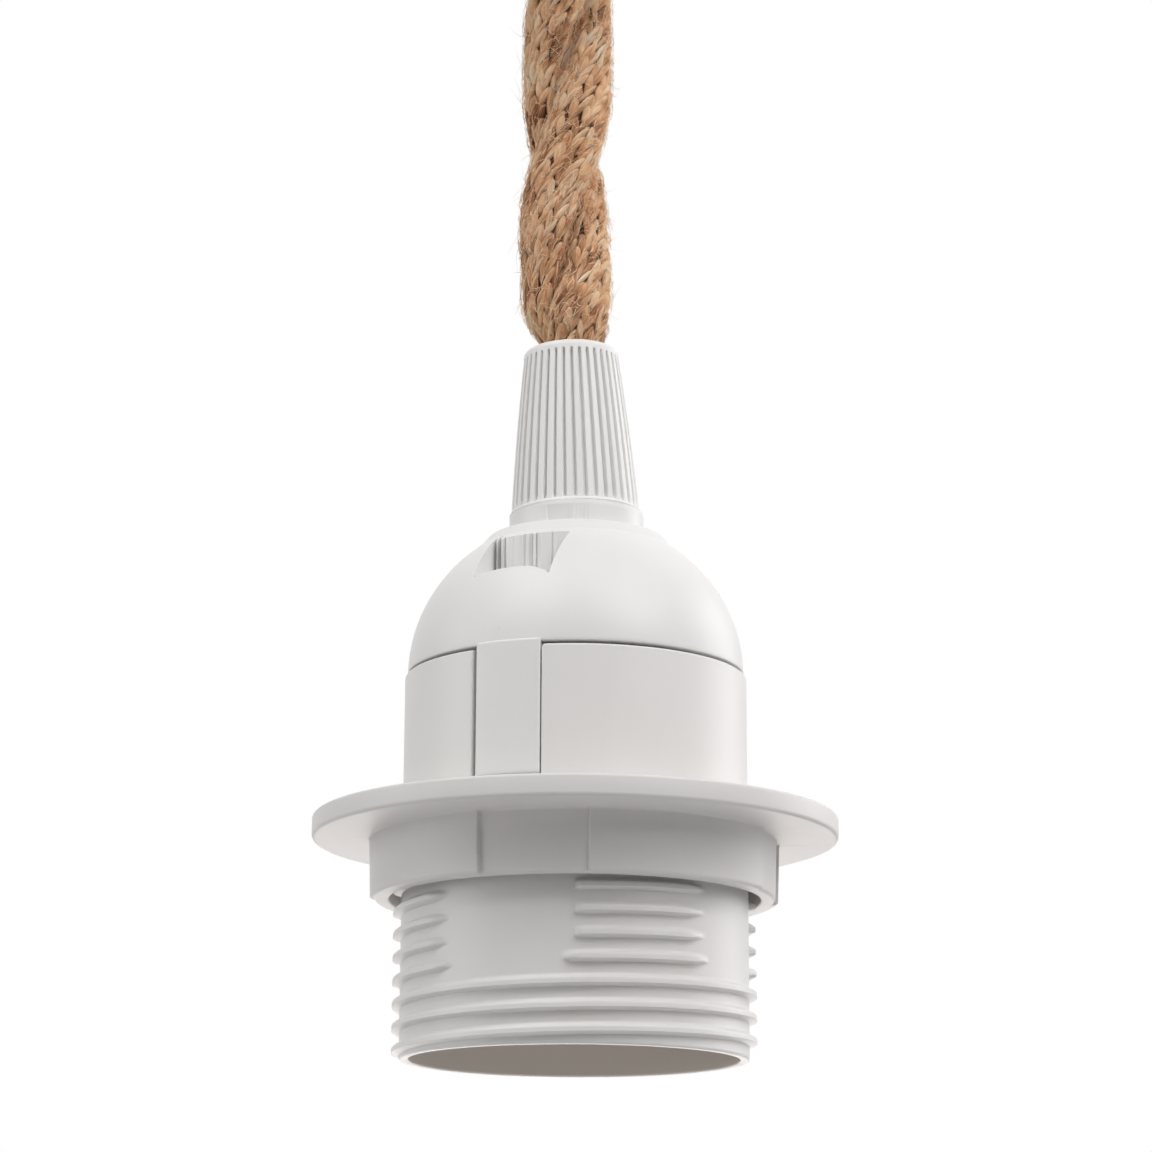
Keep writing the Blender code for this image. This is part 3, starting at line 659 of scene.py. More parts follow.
def makeCord():
    length = cordHigh - cordLow
    courses = int(length / cordLook["course"]) - 1
    jute = makeJute()
    cord = grown("twistedJuteCord", makeCoverTree(jute), {
        "Wales": cordLook["wales"], "Courses": courses, "Bottom": cordLow + 1.2 * mm,
        "Length": length - 2 * mm, "Course": cordLook["course"], "Leg Length": cordLook["legLength"],
        "Leg Width": cordLook["legWidth"], "Leg Thickness": cordLook["legThickness"],
    })
    fuzz = grown("juteFuzz", makeFuzzTree(jute), {
        "Hairs": fuzzLook["hairs"], "Bottom": cordLow + 2 * mm, "Length": length - 4 * mm,
        "Hair Length": fuzzLook["hairLength"], "Hair Radius": fuzzLook["hairRadius"],
        "Stray": fuzzLook["stray"],
    })
    # the cord's route: up the axis, with its slight sway
    steps = 24
    heights = [cordLow + length * step / steps for step in range(steps + 1)]
    route = [(swayAt(height), 0, height) for height in heights]
    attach(cord, "pendant")
    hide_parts("jute_cord")
    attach(fuzz, "pendant")


makeCord()
print("cord knitted")


# White plastic: moulded, with a fine orange peel, faint flow marks and a little dust, and painted shade inside
# the barrel's bore
plasticLook = {
    "barrel": ((0.77, 0.755, 0.745), 0.42),
    "cap": ((0.77, 0.765, 0.76), 0.40),
    "ring": ((0.71, 0.695, 0.685), 0.46),
    "nut": ((0.79, 0.785, 0.775), 0.42),
    "cup": ((0.76, 0.755, 0.745), 0.40),
    "paintedShadeInside": (0.72, 0.68, 0.635, 1),    # painted shade: the barrel's inside, darker and a little yellower
    "insideFrom": 18.7 * mm,
    "insideOver": 0.4 * mm,
    "dust": (0.42, 0.38, 0.34, 1),
    "dustScale": 900,
    "dustFrom": 0.66,             # noise above this is a speck
    "deeper": (0.93, 0.925, 0.91),    # the darker flow marks
    "streakScale": 420,
    "peelScale": 2600,
    "peelDepth": 0.000006,
    "flowScale": 90,
}


def makePlastic(name, kind):
    material, board, shader = newFinish(name, {"IOR": 1.50, "Specular IOR Level": 0.35})
    tone, gloss = plasticLook[kind]
    place = placeOf(board)
    flow = noise(board, place, plasticLook["flowScale"], 3.0, 0.55)
    stretched = board.node("ShaderNodeMapping", None, {"Vector": place, "Scale": (1, 1, 0.25)})
    streak = noise(board, stretched, plasticLook["streakScale"], 2.0)
    dust = between((noise(board, place, plasticLook["dustScale"], 4.0, 0.7) - plasticLook["dustFrom"]) * 9)
    deep = [part * share for part, share in zip(tone, plasticLook["deeper"])]
    colour = board.mixed(flow * 0.7 + streak * 0.3, (*deep, 1), (*tone, 1))
    colour = board.mixed(dust * 0.10, colour, plasticLook["dust"])
    # painted shade: the bore's inside is coloured darker and yellower
    if kind == "barrel":
        x, y, _ = board.split(place)
        within = plasticLook["insideFrom"] - (x * x + y * y) ** 0.5
        inside = between(within / plasticLook["insideOver"])
        colour = board.mixed(inside, colour, plasticLook["paintedShadeInside"])
    board.feed(shader.inputs["Base Color"], colour)
    board.feed(shader.inputs["Roughness"], gloss + (streak - 0.5) * 0.10 + dust * 0.2)
    peel = noise(board, place, plasticLook["peelScale"], 2.0)
    bumped(board, shader, peel + flow * 6, 0.6, plasticLook["peelDepth"])
    return material


# Barrel: its thread follows a right-handed helix, so the rows of its wall do too
barrel = {
    "radius": 19.1 * mm,
    "bore": 18.05 * mm,
    "upperBore": 17.0 * mm,
    "seatBore": 17.75 * mm,
    "seatDepth": 6.4 * mm,
    "guardHole": 14.55 * mm,
    "guardLow": 14.5 * mm,
    "guardHigh": 16.0 * mm,
    "lip": 0.3 * mm,
    "zone": 28.8 * mm,           # the thread's part of the wall, from the mouth up
    "columns": 216,
    "rowsPerTurn": 24,
    "pitch": 2.5 * mm,
    "ridge": 0.85 * mm,
    "crest": 0.50 * mm,
    "flankUp": 0.60 * mm,        # width of the sloping upper flank and of the steep lower one
    "flankDown": 0.26 * mm,
    "start": 0.2 * mm,           # first crest above the mouth
    "turns": 3,
    "runOut": 40,                 # degrees over which the ridge starts and ends
    "ridgeEnds": 0.35 * mm,       # and it keeps off the wall's ends by this
    "patchTop": 27.5 * mm,
    "patchBearing": 22,
    "patchHalf": 22,
    "patchMore": 2.5,             # degrees by which the lowest patch ridges are longer, up to this sweep
    "patchMoreTo": 337,
    "patchRunIn": 1.8,            # degrees over which a patch's ridge starts, and ends
    "patchRunOut": 6,
    "slotBearing": -23.3,
    "slotHalf": 12.2,             # degrees
    "slotBottom": 28.35 * mm,
    "slotChamfer": 0.13 * mm,
    "slotCorners": (0.22 * mm, 0.5 * mm),  # rounding of the wall's top corners, left and right
}


def makeThreadTree(material):
    board, given = newTree("threadedWall", ["Columns", "Rows", "Turns"], [
        "Base", "Zone", "Radius", "Pitch", "Ridge", "Crest", "Flank Up", "Flank Down", "First Crest",
        "Patch Top",
    ])
    grid, x, y = unitGrid(board, given["Columns"], given["Rows"])
    u, v = x + 0.5, y + 0.5
    pitch, zone = given["Pitch"], given["Zone"]
    rise = between(v * (zone + pitch) - pitch * (1 - u), 0.0, zone)
    height = given["Base"] + rise
    climb = (height - given["First Crest"]) / pitch - u
    turn = climb.math("ROUND")
    away = (climb - turn) * pitch
    sweep = (u + turn) * 360          # degrees along the helix from its first end
    whole = between(sweep / barrel["runOut"]) * between((given["Turns"] * 360 - sweep) / barrel["runOut"])
    bearing = u * 360 - 180
    across = (bearing - barrel["patchBearing"] + 45) % 90 - 45
    lowest = sweep < given["Turns"] * 360 + barrel["patchMoreTo"]
    half = barrel["patchHalf"] + lowest * barrel["patchMore"]
    patch = between((across + half) / barrel["patchRunIn"]) * between((half - across) / barrel["patchRunOut"])
    patch = patch * (sweep > given["Turns"] * 360 - 41) * (height - away < given["Patch Top"])
    fade = most(whole, patch)
    crestHalf = given["Crest"] * 0.5 * fade
    above = (crestHalf + given["Flank Up"] - away) / given["Flank Up"]
    below = (away + crestHalf + given["Flank Down"]) / given["Flank Down"]
    form = eased(least(between(above), between(below)))
    edge = between(rise / barrel["ridgeEnds"]) * between((zone - rise) / barrel["ridgeEnds"])
    radius = given["Radius"] + given["Ridge"] * fade.math("SQRT") * form * edge
    angle = u * (2 * pi)
    place = board.join(0 - sine(angle) * radius, cosine(angle) * radius, height)
    endTree(board, moved(board, grid, place), material)
    return board.tree


def lofted(name, rings):
    # a closed block through rings of points, with a flat cap at each end
    count = len(rings[0])
    points = [point for ringPoints in rings for point in ringPoints]
    faces = [tuple(range(count)), tuple(range(len(points) - count, len(points)))]
    for level in range(len(rings) - 1):
        first = level * count
        for index in range(count):
            after = (index + 1) % count
            faces.append((first + index, first + after, first + count + after, first + count + index))
    return objectFrom(name, tidied(meshFrom(name, points, faces), 0))


def onBearing(radius, bearing, aside=0.0):
    angle = radians(bearing)
    return (radius * sin(angle) + aside * cos(angle), -radius * cos(angle) + aside * sin(angle))


def slotRing(radius, side, grown):
    # the slot's outline at one radius, grown outwards for its chamfer
    half = radians(barrel["slotHalf"]) * barrel["radius"] + grown
    low = mouth + barrel["slotBottom"] - grown
    high = skirtTop + 3 * mm
    left, right = (corner - grown / 2 for corner in barrel["slotCorners"])
    flat = [(-half + 2 * half * step / 14, low) for step in range(15)]
    for step in range(6):
        turn = pi / 2 * step / 5
        flat.append((half + right * (1 - cos(turn)), skirtTop - right * (1 - sin(turn))))
    flat += [(half + right, high), (-half - left, high)]
    for step in range(6):
        turn = pi / 2 * (1 - step / 5)
        flat.append((-half - left * (1 - cos(turn)), skirtTop - left * (1 - sin(turn))))
    middle = barrel["slotBearing"] + side
    return [(*onBearing(radius, middle + degrees(along / barrel["radius"])), height) for along, height in flat]


def makeBarrel():
    plastic = makePlastic("barrelPlastic", "barrel")
    radius, zone = barrel["radius"], barrel["zone"]
    base = mouth + barrel["lip"]
    span = zone - barrel["lip"]
    rows = round((span + barrel["pitch"]) / barrel["pitch"] * barrel["rowsPerTurn"])
    span = rows * barrel["pitch"] / barrel["rowsPerTurn"] - barrel["pitch"]
    wall = grown("threadedWall", makeThreadTree(plastic), {
        "Columns": barrel["columns"], "Rows": rows, "Base": base, "Zone": span, "Radius": radius,
        "Pitch": barrel["pitch"], "Ridge": barrel["ridge"], "Crest": barrel["crest"],
        "Flank Up": barrel["flankUp"], "Flank Down": barrel["flankDown"],
        "First Crest": mouth + barrel["start"], "Turns": barrel["turns"],
        "Patch Top": mouth + barrel["patchTop"],
    })
    seat = skirtTop - barrel["seatDepth"]
    outline = [(radius, base + span)] + rounded([
        (radius, skirtTop, 0.25 * mm),
        (barrel["seatBore"], skirtTop, 0.2 * mm),
        (barrel["seatBore"], seat, 0),
        (barrel["upperBore"], seat, 0),
        (barrel["upperBore"], mouth + barrel["guardHigh"], 0),
        (barrel["guardHole"], mouth + barrel["guardHigh"], 0.3 * mm),
        (barrel["guardHole"], mouth + barrel["guardLow"], 0.3 * mm),
        (barrel["bore"], mouth + barrel["guardLow"], 0),
        (barrel["bore"], mouth, 0.25 * mm),
        (radius, mouth, 0.28 * mm),
    ], 4)[:-1] + [(radius, base)]
    rest = lathe("barrelRest", outline, barrel["columns"], closed=False)
    thing = objectFrom("threadedBarrel", joinedMesh("barrel", wall, rest), plastic)
    cutters = []
    chamfer = barrel["slotChamfer"]
    for side in (0, 180):
        cutters.append(lofted(f"slotCutter{side}", [
            slotRing(0.85 * radius, side, 0),
            slotRing(radius - chamfer, side, 0),
            slotRing(radius + 3 * chamfer, side, 4 * chamfer),
        ]))
    carved(thing, *cutters)
    shadeRound(thing.data, 48)
    weighted(thing)
    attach(thing, "pendant")
    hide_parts("outer_skirt")


# Cap: an elliptical dome with a flat shoulder, a neck, two snap tongues and two release pockets
cap = {
    "radius": 18.8 * mm,
    "rise": 17.9 * mm,
    "wall": 1.8 * mm,
    "gap": 0.38 * mm,             # seam to the barrel
    "shoulder": 10.0 * mm,
    "shoulderFoot": 11.05 * mm,   # the shoulder slopes out to this
    "shoulderTop": 58.6 * mm,     # above the mouth
    "neck": 7.6 * mm,
    "neckTop": 61.33 * mm,
    "neckLean": 0.0113,           # rise per radius, towards the side where the nut stands off
    "stub": 5.0 * mm,
    "bore": 3.4 * mm,
    "spigot": 17.45 * mm,
    "spigotBottom": 40.6 * mm,
    "spigotWall": 1.3 * mm,
    "pocketBearing": -26.2,
    "pocketFloor": 51.8 * mm,
    "pocketBack": 12.0 * mm,
    "pocketWall": 1.2 * mm,
    "pocketWidth": 9.4 * mm,
    "pocketArch": 0.02 * mm,
    "pocketDrop": 0.35 * mm,      # its floor drops twice by this, from where and over what width
    "pocketDrops": [(2.4, 1.6), (4.1, 0.3)],
    "pocketRibs": [               # place across the back wall, half width, height of each flute or rib
        (-4.52, 0.20, -0.55), (-4.25, 0.10, 0.10), (-3.90, 0.24, -0.75), (-3.42, 0.20, 0.16),
        (-3.07, 0.09, -0.25), (-2.70, 0.12, 0.10), (-1.90, 0.08, -0.05), (-0.72, 0.10, 0.12),
        (-0.43, 0.08, -0.12), (-0.05, 0.06, 0.05), (0.23, 0.06, -0.10), (0.50, 0.06, -0.12),
        (0.76, 0.10, 0.25), (1.00, 0.10, -0.20), (1.60, 0.08, 0.05), (2.77, 0.08, -0.14), (3.20, 0.10, 0.06),
    ],
    "tongueBearing": -22.85,
    "tongueHalf": 11.35,          # degrees
    "tongueBottom": 28.39 * mm,
    "recessBearing": -15.5,
    "recessHalf": 10,
    "recessDepth": 0.28 * mm,
    "recessLow": 58.9 * mm,       # above the mouth
    "recessHigh": 60.3 * mm,
    "tickReach": 26,
    "tickWidth": 1.7,
}


def domePoints(radius, rise, start, end, steps):
    first, last = acos(start / radius), acos(min(1, end / radius))
    edge = skirtTop + cap["gap"]
    return [(radius * cos(first + (last - first) * step / steps),
             edge + rise * sin(first + (last - first) * step / steps)) for step in range(steps + 1)]


def neckForm(angle, radius, height):
    # a shallow moulded recess with fine ticks beside it, on the front of the neck
    above = height - mouth
    if radius > 6 * mm and above > cap["neckTop"] - 0.25 * mm:
        height += cap["neckLean"] * radius * cos(angle)
    if abs(radius - cap["neck"]) > 0.3 * mm or not cap["recessLow"] < above < cap["recessHigh"]:
        return radius, height
    bearing = (degrees(angle) + 90 + 180) % 360 - 180
    off = bearing - cap["recessBearing"]
    if abs(off) < cap["recessHalf"]:
        return radius - cap["recessDepth"], height
    if 0 < off < cap["tickReach"] and int(off / cap["tickWidth"]) % 2 == 0:
        return radius - 0.4 * cap["recessDepth"], height
    return radius, height


def pocketBlock(name, side, wall=0.0):
    # a pocket as a block: parallel sides, an arched floor, a back wall with fine flutes and ribs
    half = cap["pocketWidth"] / 2 + wall
    top = mouth + cap["shoulderTop"] + (2 * mm if not wall else -0.7 * mm)
    reach = 1.4 * cap["radius"]
    steps = 150 if not wall else 16
    rings = []
    for step in range(steps + 1):
        aside = -half + 2 * half * step / steps
        back = sqrt((cap["pocketBack"] - wall) ** 2 - aside ** 2)
        floor = mouth + cap["pocketFloor"] - wall - cap["pocketArch"] * (aside / mm - 0.3) ** 2
        floor -= sum(cap["pocketDrop"] * eased((aside / mm - start) / over)
                     for start, over in cap["pocketDrops"])
        if not wall:
            for middle, halfWidth, push in cap["pocketRibs"]:
                back += push * mm * eased((halfWidth - abs(aside / mm - middle)) / (0.6 * halfWidth))
        bearing = cap["pocketBearing"] + side
        near, far = onBearing(back, bearing, aside), onBearing(reach, bearing, aside)
        rings.append([(*near, floor), (*near, top), (*far, top), (*far, floor)])
    return lofted(name, rings)


def tongueBlock(side):
    middle, half = cap["tongueBearing"] + side, cap["tongueHalf"]
    low, high = mouth + cap["tongueBottom"], skirtTop + cap["gap"] + 0.3 * mm
    levels = [high - drop * mm for drop in (0, 0.3, 0.6, 1.2, 2.4, 4, 6, 9)] + [low + 0.6 * mm, low]
    rings = []
    steps = 30
    for step in range(steps + 1):
        bearing = middle - half + 2 * half * step / steps
        near, far = onBearing(barrel["seatBore"], bearing), onBearing(barrel["radius"], bearing)
        rings.append([(*near, low), (*near, high)] + [(*far, level) for level in levels])
    tongue = lofted(f"tongue{side}", rings)
    soften = tongue.modifiers.new("soften", "BEVEL")
    soften.width = 0.2 * mm
    soften.segments = 3
    soften.limit_method = "ANGLE"
    soften.angle_limit = radians(50)
    return settled(tongue)


def makeCap():
    plastic = makePlastic("capPlastic", "cap")
    edge = skirtTop + cap["gap"]
    shoulderTop = mouth + cap["shoulderTop"]
    neckTop = mouth + cap["neckTop"]
    spigotLow = mouth + cap["spigotBottom"]
    stubTop = cordLow - 0.3 * mm
    dome = domePoints(cap["radius"], cap["rise"], cap["shoulderFoot"] + 0.1 * mm, cap["radius"], 48)
    outline = rounded([
        (cap["bore"], stubTop, 0),
        (cap["stub"], stubTop, 0.2 * mm),
        (cap["stub"], neckTop, 0),
        (cap["neck"], neckTop, 0.12 * mm),
    ], 3)
    outline += [(cap["neck"], neckTop - share * (neckTop - shoulderTop)) for share in (0.1, 0.15, 0.8, 0.85)]
    outline += [(cap["neck"] + 0.02 * mm, shoulderTop)]
    outline += rounded([
        (cap["neck"] + 0.3 * mm, shoulderTop, 0),
        (cap["shoulder"], shoulderTop - 0.05 * mm, 0.5 * mm),
        (cap["shoulderFoot"], dome[0][1] + 0.02 * mm, 0),
    ], 5)
    outline += dome[:-1] + rounded([
        (cap["radius"], edge + 0.4 * mm, 0),
        (cap["radius"], edge, 0.15 * mm),
        (cap["spigot"], edge, 0),
    ], 3)
    inner = domePoints(cap["radius"] - cap["wall"], cap["rise"] - cap["wall"], cap["neck"],
                       cap["spigot"] - cap["spigotWall"], 20)
    outline += [(cap["spigot"], spigotLow), (cap["spigot"] - cap["spigotWall"], spigotLow)]
    outline += list(reversed(inner)) + [(cap["bore"], inner[0][1])]
    thing = objectFrom("domedCap", lathe("domedCap", outline, 288, form=neckForm), plastic)

    shrunk = 0.5 * mm
    solid = [(0, edge + cap["rise"] - shrunk)]
    solid += domePoints(cap["radius"] - shrunk, cap["rise"] - shrunk, 0.5 * mm, cap["radius"] - shrunk, 24)
    solid += [(0, edge)]
    for side in (0, 180):
        housing = pocketBlock(f"housing{side}", side, cap["pocketWall"])
        within = objectFrom(f"within{side}", lathe(f"within{side}", solid, 96, closed=False))
        carved(housing, within, operation="INTERSECT")
        carved(thing, housing, operation="UNION")
    for side in (0, 180):
        carved(thing, pocketBlock(f"pocket{side}", side))
        carved(thing, tongueBlock(side), operation="UNION")
    thing.data.materials.clear()
    thing.data.materials.append(plastic)
    shadeRound(thing.data, 32)
    weighted(thing)
    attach(thing, "pendant")
    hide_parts("dome_cap")


# Grip nut: a cone with grooves cut down it, each with round ends
nut = {
    "flange": 7.6 * mm,
    "foot": 7.25 * mm,
    "footHeight": 0.5 * mm,
    "top": 5.45 * mm,
    "shoulder": 1.1 * mm,         # height of the rounded top
    "rim": 4.35 * mm,
    "hole": 4.2 * mm,
    "lower": 0.5 * mm,            # its rounded top ends this far under the frame's
    "grooves": 38,
    "columnsPerGroove": 12,
    "rows": 64,
    "grooveWidth": 0.41 * mm,
    "grooveDepth": 0.50 * mm,
    "grooveLow": 0.68 * mm,       # ends of the grooves, from the nut's ends
    "grooveHigh": 1.45 * mm,
    "crown": 0.45 * mm,           # how far its wall bulges
    "lean": -1.7,                 # degrees to the left, as the loose nut sits on its thread
    "aside": -0.12 * mm,
}


def makeNutTree(material):
    board, given = newTree("groovedCone", ["Grooves", "Columns Per Groove", "Rows"], [
        "Bottom", "Height", "Foot Radius", "Top Radius", "Groove Width", "Groove Depth", "Low End", "High End",
    ])
    grid, x, y = unitGrid(board, given["Grooves"] * given["Columns Per Groove"], given["Rows"])
    u, v = x + 0.5, y + 0.5
    rise = v * given["Height"]
    smooth = given["Foot Radius"] + (given["Top Radius"] - given["Foot Radius"]) * v
    smooth = smooth + v * (1 - v) * nut["crown"]
    beside = ((u * given["Grooves"]).math("FRACT") - 0.5).math("ABSOLUTE")
    beside = beside * (2 * pi) * smooth / given["Grooves"]
    halfWidth = given["Groove Width"] / 2 * (smooth / given["Foot Radius"])
    pastLow = most(given["Low End"] - rise, 0.0)
    pastHigh = most(rise - given["High End"], 0.0)
    past = pastLow + pastHigh
    away = (beside * beside + past * past).math("SQRT")
    cut = eased((halfWidth * 1.2 - away) / (halfWidth * 0.6))
    radius = smooth - cut * given["Groove Depth"]
    angle = u * (2 * pi)
    place = board.join(cosine(angle) * radius, sine(angle) * radius, given["Bottom"] + rise)
    endTree(board, moved(board, grid, place), material)
    return board.tree


def makeNut():
    plastic = makePlastic("nutPlastic", "nut")
    bottom = nutBottom + nut["footHeight"]
    top = nutTop - nut["lower"]
    height = top - nut["shoulder"] - bottom
    columns = nut["grooves"] * nut["columnsPerGroove"]
    wall = grown("groovedWall", makeNutTree(plastic), {
        "Grooves": nut["grooves"], "Columns Per Groove": nut["columnsPerGroove"], "Rows": nut["rows"],
        "Bottom": bottom, "Height": height, "Foot Radius": nut["foot"], "Top Radius": nut["top"],
        "Groove Width": nut["grooveWidth"], "Groove Depth": nut["grooveDepth"],
        "Low End": nut["grooveLow"] - nut["footHeight"] + 0.2 * mm,
        "High End": height - nut["grooveHigh"] + nut["shoulder"],
    })
    stub = cap["stub"] + 0.3 * mm
    outline = [(nut["top"], bottom + height)] + rounded([
        (nut["top"] - 0.05 * mm, top - 0.05 * mm, 0.8 * mm),
        (nut["rim"], top, 0.15 * mm),
        (nut["hole"], top - 0.25 * mm, 0),
        (nut["hole"], cordLow + 6.9 * mm, 0),
        (stub, cordLow, 0),
        (stub, nutBottom, 0),
        (nut["flange"], nutBottom, 0.15 * mm),
        (nut["foot"] + 0.12 * mm, bottom - 0.08 * mm, 0),
    ], 5) + [(nut["foot"], bottom)]
    rest = lathe("nutRest", outline, columns, closed=False)
    mesh = joinedMesh("gripNut", wall, rest)
    foot = Matrix.Translation((0, 0, nutBottom))
    mesh.transform(foot @ Matrix.Rotation(radians(nut["lean"]), 4, "Y") @ foot.inverted())
    mesh.transform(Matrix.Translation((nut["aside"], 0, 0)))
    thing = objectFrom("gripNut", mesh, plastic)
    shadeRound(thing.data, 40)
    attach(thing, "pendant")
    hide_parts("cord_grip_nut")


# Shade ring: a flange on a collar with four raised pads
ring = {
    "radius": 29.1 * mm,
    "top": 26.5 * mm,             # above the mouth
    "flange": 2.4 * mm,
    "height": 9.1 * mm,
    "collar": 22.25 * mm,
    "bore": 20.25 * mm,
    "padProud": 0.5 * mm,
    "padBearing": 33.5,
    "padHalf": 29.7,
    "padEdge": 0.4,               # degrees over which a pad's side rises
    "columns": 240,
}


def padShare(bearing):
    off = abs((bearing - ring["padBearing"] + 45) % 90 - 45)
    return max(0, min(1, (ring["padHalf"] - off) / ring["padEdge"] + 0.5))


def ringForm(angle, radius, height):
    bearing = degrees(angle) + 90
    under = mouth + ring["top"] - ring["flange"]
    if ring["collar"] - 1.0 * mm < radius < ring["collar"] + 0.3 * mm and height < under + 0.1 * mm:
        radius += ring["padProud"] * padShare(bearing)
    return radius, height


def makeRing():
    plastic = makePlastic("ringPlastic", "ring")
    top = mouth + ring["top"]
    under = top - ring["flange"]
    low = top - ring["height"]
    outline = rounded([
        (ring["radius"], top, 0.35 * mm),
        (ring["radius"], under, 0.45 * mm),
        (ring["collar"], under, 0.25 * mm),
        (ring["collar"] - 0.2 * mm, low, 0.45 * mm),
        (ring["bore"] + 0.25 * mm, low, 0.3 * mm),
        (ring["bore"], low + 1.2 * mm, 0),
        (ring["bore"], top, 0.4 * mm),
    ], 5)
    edges = [ring["padBearing"] + 90 * index + side * (ring["padHalf"] + shift * ring["padEdge"])
             for index in range(4) for side in (-1, 1) for shift in (-0.5, 0.5)]
    even = [360 * index / ring["columns"] for index in range(ring["columns"])]
    bearings = sorted(set(round(bearing % 360, 4) for bearing in even + edges))
    angles = [radians(bearing - 90) for bearing in bearings]
    thing = objectFrom("shadeRing", lathe("shadeRing", outline, form=ringForm, angles=angles), plastic)
    shadeRound(thing.data, 30)
    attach(thing, "shade_ring")
    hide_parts("shade_ring")


makeBarrel()
makeCap()
makeNut()
makeRing()
print("white pieces made")


# Metals, pressed plastic and wire insulation
hardLook = {
    "brass": ((0.74, 0.55, 0.26), (0.50, 0.33, 0.13), 1.0, 0.30),
    "steel": ((0.60, 0.61, 0.63), (0.42, 0.43, 0.46), 1.0, 0.34),
    "insulating": ((0.70, 0.68, 0.62), (0.58, 0.55, 0.48), 0.0, 0.55),
    "brown": ((0.17, 0.075, 0.032), (0.10, 0.045, 0.02), 0.0, 0.40),
    "blue": ((0.04, 0.15, 0.44), (0.02, 0.08, 0.28), 0.0, 0.40),
    "grainScale": 900,
    "patchScale": 120,
    "wornFrom": 0.52,             # noise above this is worn
}


def makeHard(name, kind):
    clean, worn, metal, gloss = hardLook[kind]
    material, board, shader = newFinish(name, {"Metallic": metal})
    place = placeOf(board)
    stretched = board.node("ShaderNodeMapping", None, {"Vector": place, "Scale": (1, 1, 0.12)})
    grain = noise(board, stretched, hardLook["grainScale"], 3.0, 0.6)
    patch = noise(board, place, hardLook["patchScale"], 3.0, 0.6)
    worst = between((patch - hardLook["wornFrom"]) * 3.5)
    colour = board.mixed(worst * 0.7 + grain * 0.25, (*clean, 1), (*worn, 1))
    board.feed(shader.inputs["Base Color"], colour)
    board.feed(shader.inputs["Roughness"], gloss + (grain - 0.5) * 0.22 + worst * 0.12)
    bumped(board, shader, grain + patch * 0.6, 0.5, 0.000008)
    return material


hard = {kind: makeHard(f"{kind}Finish", kind) for kind in ("brass", "steel", "insulating", "brown", "blue")}


def finishNode(node, material):
    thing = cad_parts[node]
    for slot in thing.material_slots:
        slot.material = material


# Lamp thread: sheet rolled into a helix
lampThread = {
    "outer": 13.90 * mm,
    "sheet": 0.40 * mm,
    "depth": 1.10 * mm,
    "pitch": 3.63 * mm,
    "columns": 160,
    "rows": 96,
    "hole": 6.0 * mm,
    "rivetHole": 1.3 * mm,
}


def makeRolledTree(material):
    board, given = newTree("rolledThread", ["Columns", "Rows"], [
        "Base", "Height", "Radius", "Sheet", "Depth", "Pitch",
    ])
    grid, x, y = unitGrid(board, given["Columns"], given["Rows"] * 2)
    u, v = x + 0.5, (y + 0.5) * 2       # up the outside, then down the inside
    rise = (1 - (1 - v).math("ABSOLUTE")) * given["Height"]
    inside = v > 1.0001
    wave = cosine((rise / given["Pitch"] - u) * (2 * pi))
    ends = eased(rise / (2.2 * mm)) * eased((given["Height"] - rise) / (2.2 * mm))
    radius = given["Radius"] - inside * given["Sheet"] - (0.5 - wave * 0.5) * ends * given["Depth"]
    angle = u * (2 * pi)
    place = board.join(0 - sine(angle) * radius, cosine(angle) * radius, given["Base"] + rise)
    endTree(board, moved(board, grid, place), material)
    return board.tree


def makeLampThread():
    low, high = lowOf("lamp_thread_shell"), topOf("lamp_thread_shell")
    sheet, outer = lampThread["sheet"], lampThread["outer"]
    wall = grown("rolledThread", makeRolledTree(hard["brass"]), {
        "Columns": lampThread["columns"], "Rows": lampThread["rows"], "Base": low,
        "Height": high - sheet - low, "Radius": outer, "Sheet": sheet, "Depth": lampThread["depth"],
        "Pitch": lampThread["pitch"],
    })
    lid = lathe("lampThreadLid", rounded([
        (outer, high, 0.25 * mm), (lampThread["hole"], high, 0), (lampThread["hole"], high - sheet, 0),
        (outer, high - sheet, 0),
    ], 4), lampThread["columns"])
    thing = objectFrom("lampThread", joinedMesh("lampThread", wall, lid), hard["brass"])
    rivet = lampThread["rivetHole"]
    rivetHole = lathe("rivetHole", [
        (0, high + mm), (rivet, high + mm), (rivet, high - mm), (0, high - mm),
    ], 24, closed=False)
    cutter = objectFrom("rivetHole", rivetHole)
    centre = [sum(axis) / 2 for axis in zip(*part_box("shell_rivet"))]
    cutter.location = (centre[0], centre[1], 0)
    bpy.context.view_layer.update()
    carved(thing, cutter)
    shadeRound(thing.data, 50)
    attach(thing, "pendant")
    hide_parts("lamp_thread_shell")


# Screws: cheese heads with a driver slot, each placed where its node is
screwLook = {
    "columns": 48,
    "shank": 0.5,                 # share of the head's radius
    "slot": 0.6 * mm,
    "screws": [                   # node, direction of its head, head height, material, slot
        ("live_terminal_screw", (0, 0, 1), 1.4 * mm, "steel", "steel"),
        ("neutral_terminal_screw", (0, 0, 1), 1.4 * mm, "steel", "steel"),
        ("cup_screw_left", (-1, 0, 0), 1.8 * mm, "steel", "steel"),
        ("cup_screw_right", (1, 0, 0), 1.8 * mm, "steel", "steel"),
        ("gland_clamp_screw", (0, -1, 0), 1.3 * mm, "nut", "nut_plastic"),
        ("ceiling_live_screw", (0, 0, -1), 1.4 * mm, "steel", "steel"),
        ("ceiling_neutral_screw", (0, 0, -1), 1.4 * mm, "steel", "steel"),
    ],
}


